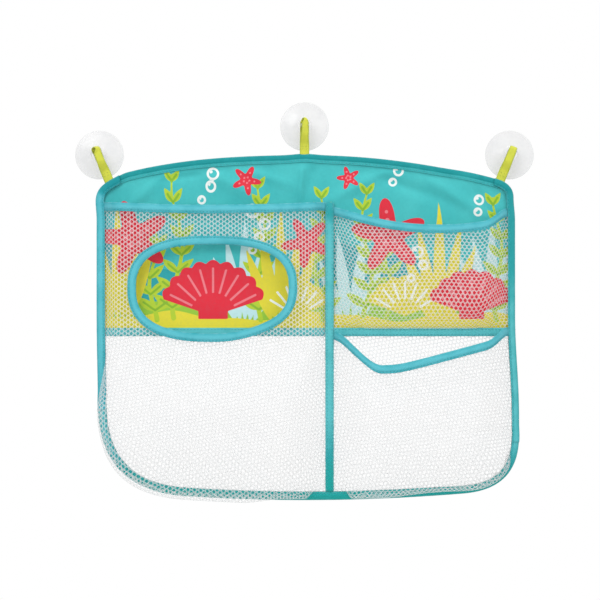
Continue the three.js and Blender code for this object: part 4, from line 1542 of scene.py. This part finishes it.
def lathe(profile, steps):
    """A turned body from (radius, out) pairs that start and end on its axis, about the out direction."""
    profile = np.asarray(profile)
    turn = np.linspace(0, 2 * math.pi, steps, endpoint=False)
    rings = profile[1:-1]
    points = np.empty((len(rings), steps, 3))
    points[..., 0] = rings[:, :1] * np.cos(turn)
    points[..., 1] = -rings[:, 1:]
    points[..., 2] = rings[:, :1] * np.sin(turn)
    here = np.arange(len(rings) * steps).reshape(len(rings), steps)
    faces = tube_quads(here)
    first, last = len(rings) * steps, len(rings) * steps + 1
    for k in range(steps):
        after = (k + 1) % steps
        faces.append([first, here[0, after], here[0, k]])
        faces.append([last, here[-1, k], here[-1, after]])
    ends = np.array([(0, -profile[0, 1], 0), (0, -profile[-1, 1], 0)])
    return np.concatenate([points.reshape(-1, 3), ends]), faces


def cup_profile():
    rim_middle = CUP_RIM / 2
    rim_turn = np.linspace(-math.pi / 2, math.pi / 2, 7)
    rim_x = CUP_RADIUS - rim_middle + rim_middle * np.cos(rim_turn)
    rim = np.stack([rim_x, rim_middle + rim_middle * np.sin(rim_turn)], axis=1)
    hollow = bent((0, CUP_HOLLOW), (CUP_RADIUS / 2, CUP_HOLLOW), (CUP_RADIUS - CUP_SEAL, 0), 10)
    dome = bent(rim[-1], (CUP_RADIUS / 2, CUP_DOME / 2), (KNOB_RADIUS + 0.8, CUP_DOME - 0.3), 12)
    knob = [(KNOB_RADIUS + 0.2, CUP_DOME + 0.3), (KNOB_RADIUS, CUP_DOME + 1.2)]
    crown_turn = np.linspace(0, math.pi / 2, 5)
    crown = np.stack([KNOB_RADIUS - 1 + np.cos(crown_turn), KNOB_TOP - 1 + np.sin(crown_turn)], axis=1)
    return np.concatenate([hollow, rim, dome[1:], knob, crown, [(0, KNOB_TOP)]])


def cut(piece, other, operation):
    change = piece.modifiers.new(operation, "BOOLEAN")
    change.operation = operation
    change.object = other
    change.solver = "EXACT"
    found = piece.evaluated_get(bpy.context.evaluated_depsgraph_get())
    mesh = bpy.data.meshes.new_from_object(found)
    piece.modifiers.clear()
    piece.data = mesh
    bpy.data.objects.remove(other)


def cup_mesh():
    """A suction cup about its own axis, with a slotted knob and a cross bar."""
    points, faces = lathe(cup_profile(), 96)
    cup = make_solid("cup_form", points, faces, CLEAR_PVC)
    depths = (-CUP_DOME - FIT, -SLOT_REACH)
    box = list(product((-SLOT_HALF, SLOT_HALF), depths, (-SLOT_REACH, SLOT_REACH)))
    box_faces = [(0, 1, 3, 2), (4, 6, 7, 5), (0, 4, 5, 1), (2, 3, 7, 6), (0, 2, 6, 4), (1, 5, 7, 3)]
    cut(cup, make_solid("cup_slot", box, box_faces, CLEAR_PVC), "DIFFERENCE")
    bar_profile = [(0, -BAR_HALF), (BAR_RADIUS, -BAR_HALF), (BAR_RADIUS, BAR_HALF), (0, BAR_HALF)]
    bar, bar_faces = lathe(bar_profile, 32)
    bar = np.stack([bar[:, 1], bar[:, 0] - BAR_OUT, bar[:, 2]], axis=1)
    cut(cup, make_solid("cup_bar", bar, bar_faces, CLEAR_PVC), "UNION")
    mesh = cup.data
    bpy.data.objects.remove(cup)
    mesh.shade_smooth()
    mesh.set_sharp_from_angle(angle=math.radians(40))
    return mesh


CUP_MESH = cup_mesh()


def suction_cup(side):
    foot, across, up = hanger_axes(side)
    middle = foot + up * LOOP_RISE
    piece = new_object(side + "_suction_cup_pvc", CUP_MESH.copy())
    turn = Matrix.Rotation(math.atan2(-across[2], across[0]), 4, "Y")
    piece.data.transform(Matrix.Translation(Vector((middle[0], 0, middle[2])) * MM) @ turn)
    stand_for(piece, side + "_suction_cup", side + "_cup")


for hanger in ("left", "centre", "right"):
    ribbon_loop(hanger)
    loop_tacks(hanger)
    suction_cup(hanger)


# Stage: camera, floor, light
LAMP_TARGET = Vector((0, 0, -0.2))
WHITE = (1, 1, 1, 1)


def add_camera():
    """Straight at the bag. One picture element of 600 is one millimetre at the bag's back."""
    data = bpy.data.cameras.new("camera")
    data.lens = 90
    data.sensor_width = 36
    camera = new_object("camera", data)
    camera.location = (-0.0045, -1.51, -0.1744)
    camera.rotation_euler = (math.radians(90), 0, 0)
    bpy.context.scene.camera = camera


def add_lamp(name, place, size, power):
    data = bpy.data.lights.new(name, "AREA")
    data.shape = "DISK"
    data.size = size
    data.energy = power
    lamp = new_object(name, data)
    lamp.location = place
    lamp.rotation_euler = (LAMP_TARGET - lamp.location).to_track_quat("-Z", "Y").to_euler()


def add_floor():
    finish = Finish("floor", Roughness=0.8)
    clouds = finish.noise(60)
    finish.colour(finish.mix(clouds, colour("EDEDEC"), colour("F4F4F3")))
    turn = np.linspace(0, 2 * math.pi, 64, endpoint=False)
    points = np.stack([600 * np.cos(turn), 600 * np.sin(turn), np.full(64, -640.0)], axis=1)
    floor = make_piece("floor", points, [list(range(64))], finish.material)


def add_world():
    """Soft grey light all round, which is white where the camera sees it, also by way of gloss or glass."""
    world = bpy.data.worlds.new("world")
    world.use_nodes = True
    tree = world.node_tree
    tree.nodes.clear()
    shows = add_node(tree, "LightPath", output="Is Camera Ray")
    for way in ("Is Glossy Ray", "Is Transmission Ray"):
        also = add_node(tree, "LightPath", output=way)
        shows = add_node(tree, "Math", shows, also, operation="MAXIMUM")
    light = add_node(tree, "Background", WHITE, 0.62)
    seen = add_node(tree, "Background", WHITE, 1.0)
    output = tree.nodes.new("ShaderNodeOutputWorld")
    tree.links.new(add_node(tree, "MixShader", shows, light, seen), output.inputs["Surface"])
    bpy.context.scene.world = world


add_camera()
add_lamp("key", (-0.7, -1.3, 0.6), 0.7, 7)
add_lamp("fill", (0.9, -1.2, 0.1), 1.0, 3)
add_lamp("top", (0.1, -0.5, 1.0), 0.6, 5)
add_floor()
add_world()
bpy.context.scene.view_settings.view_transform = "Standard"
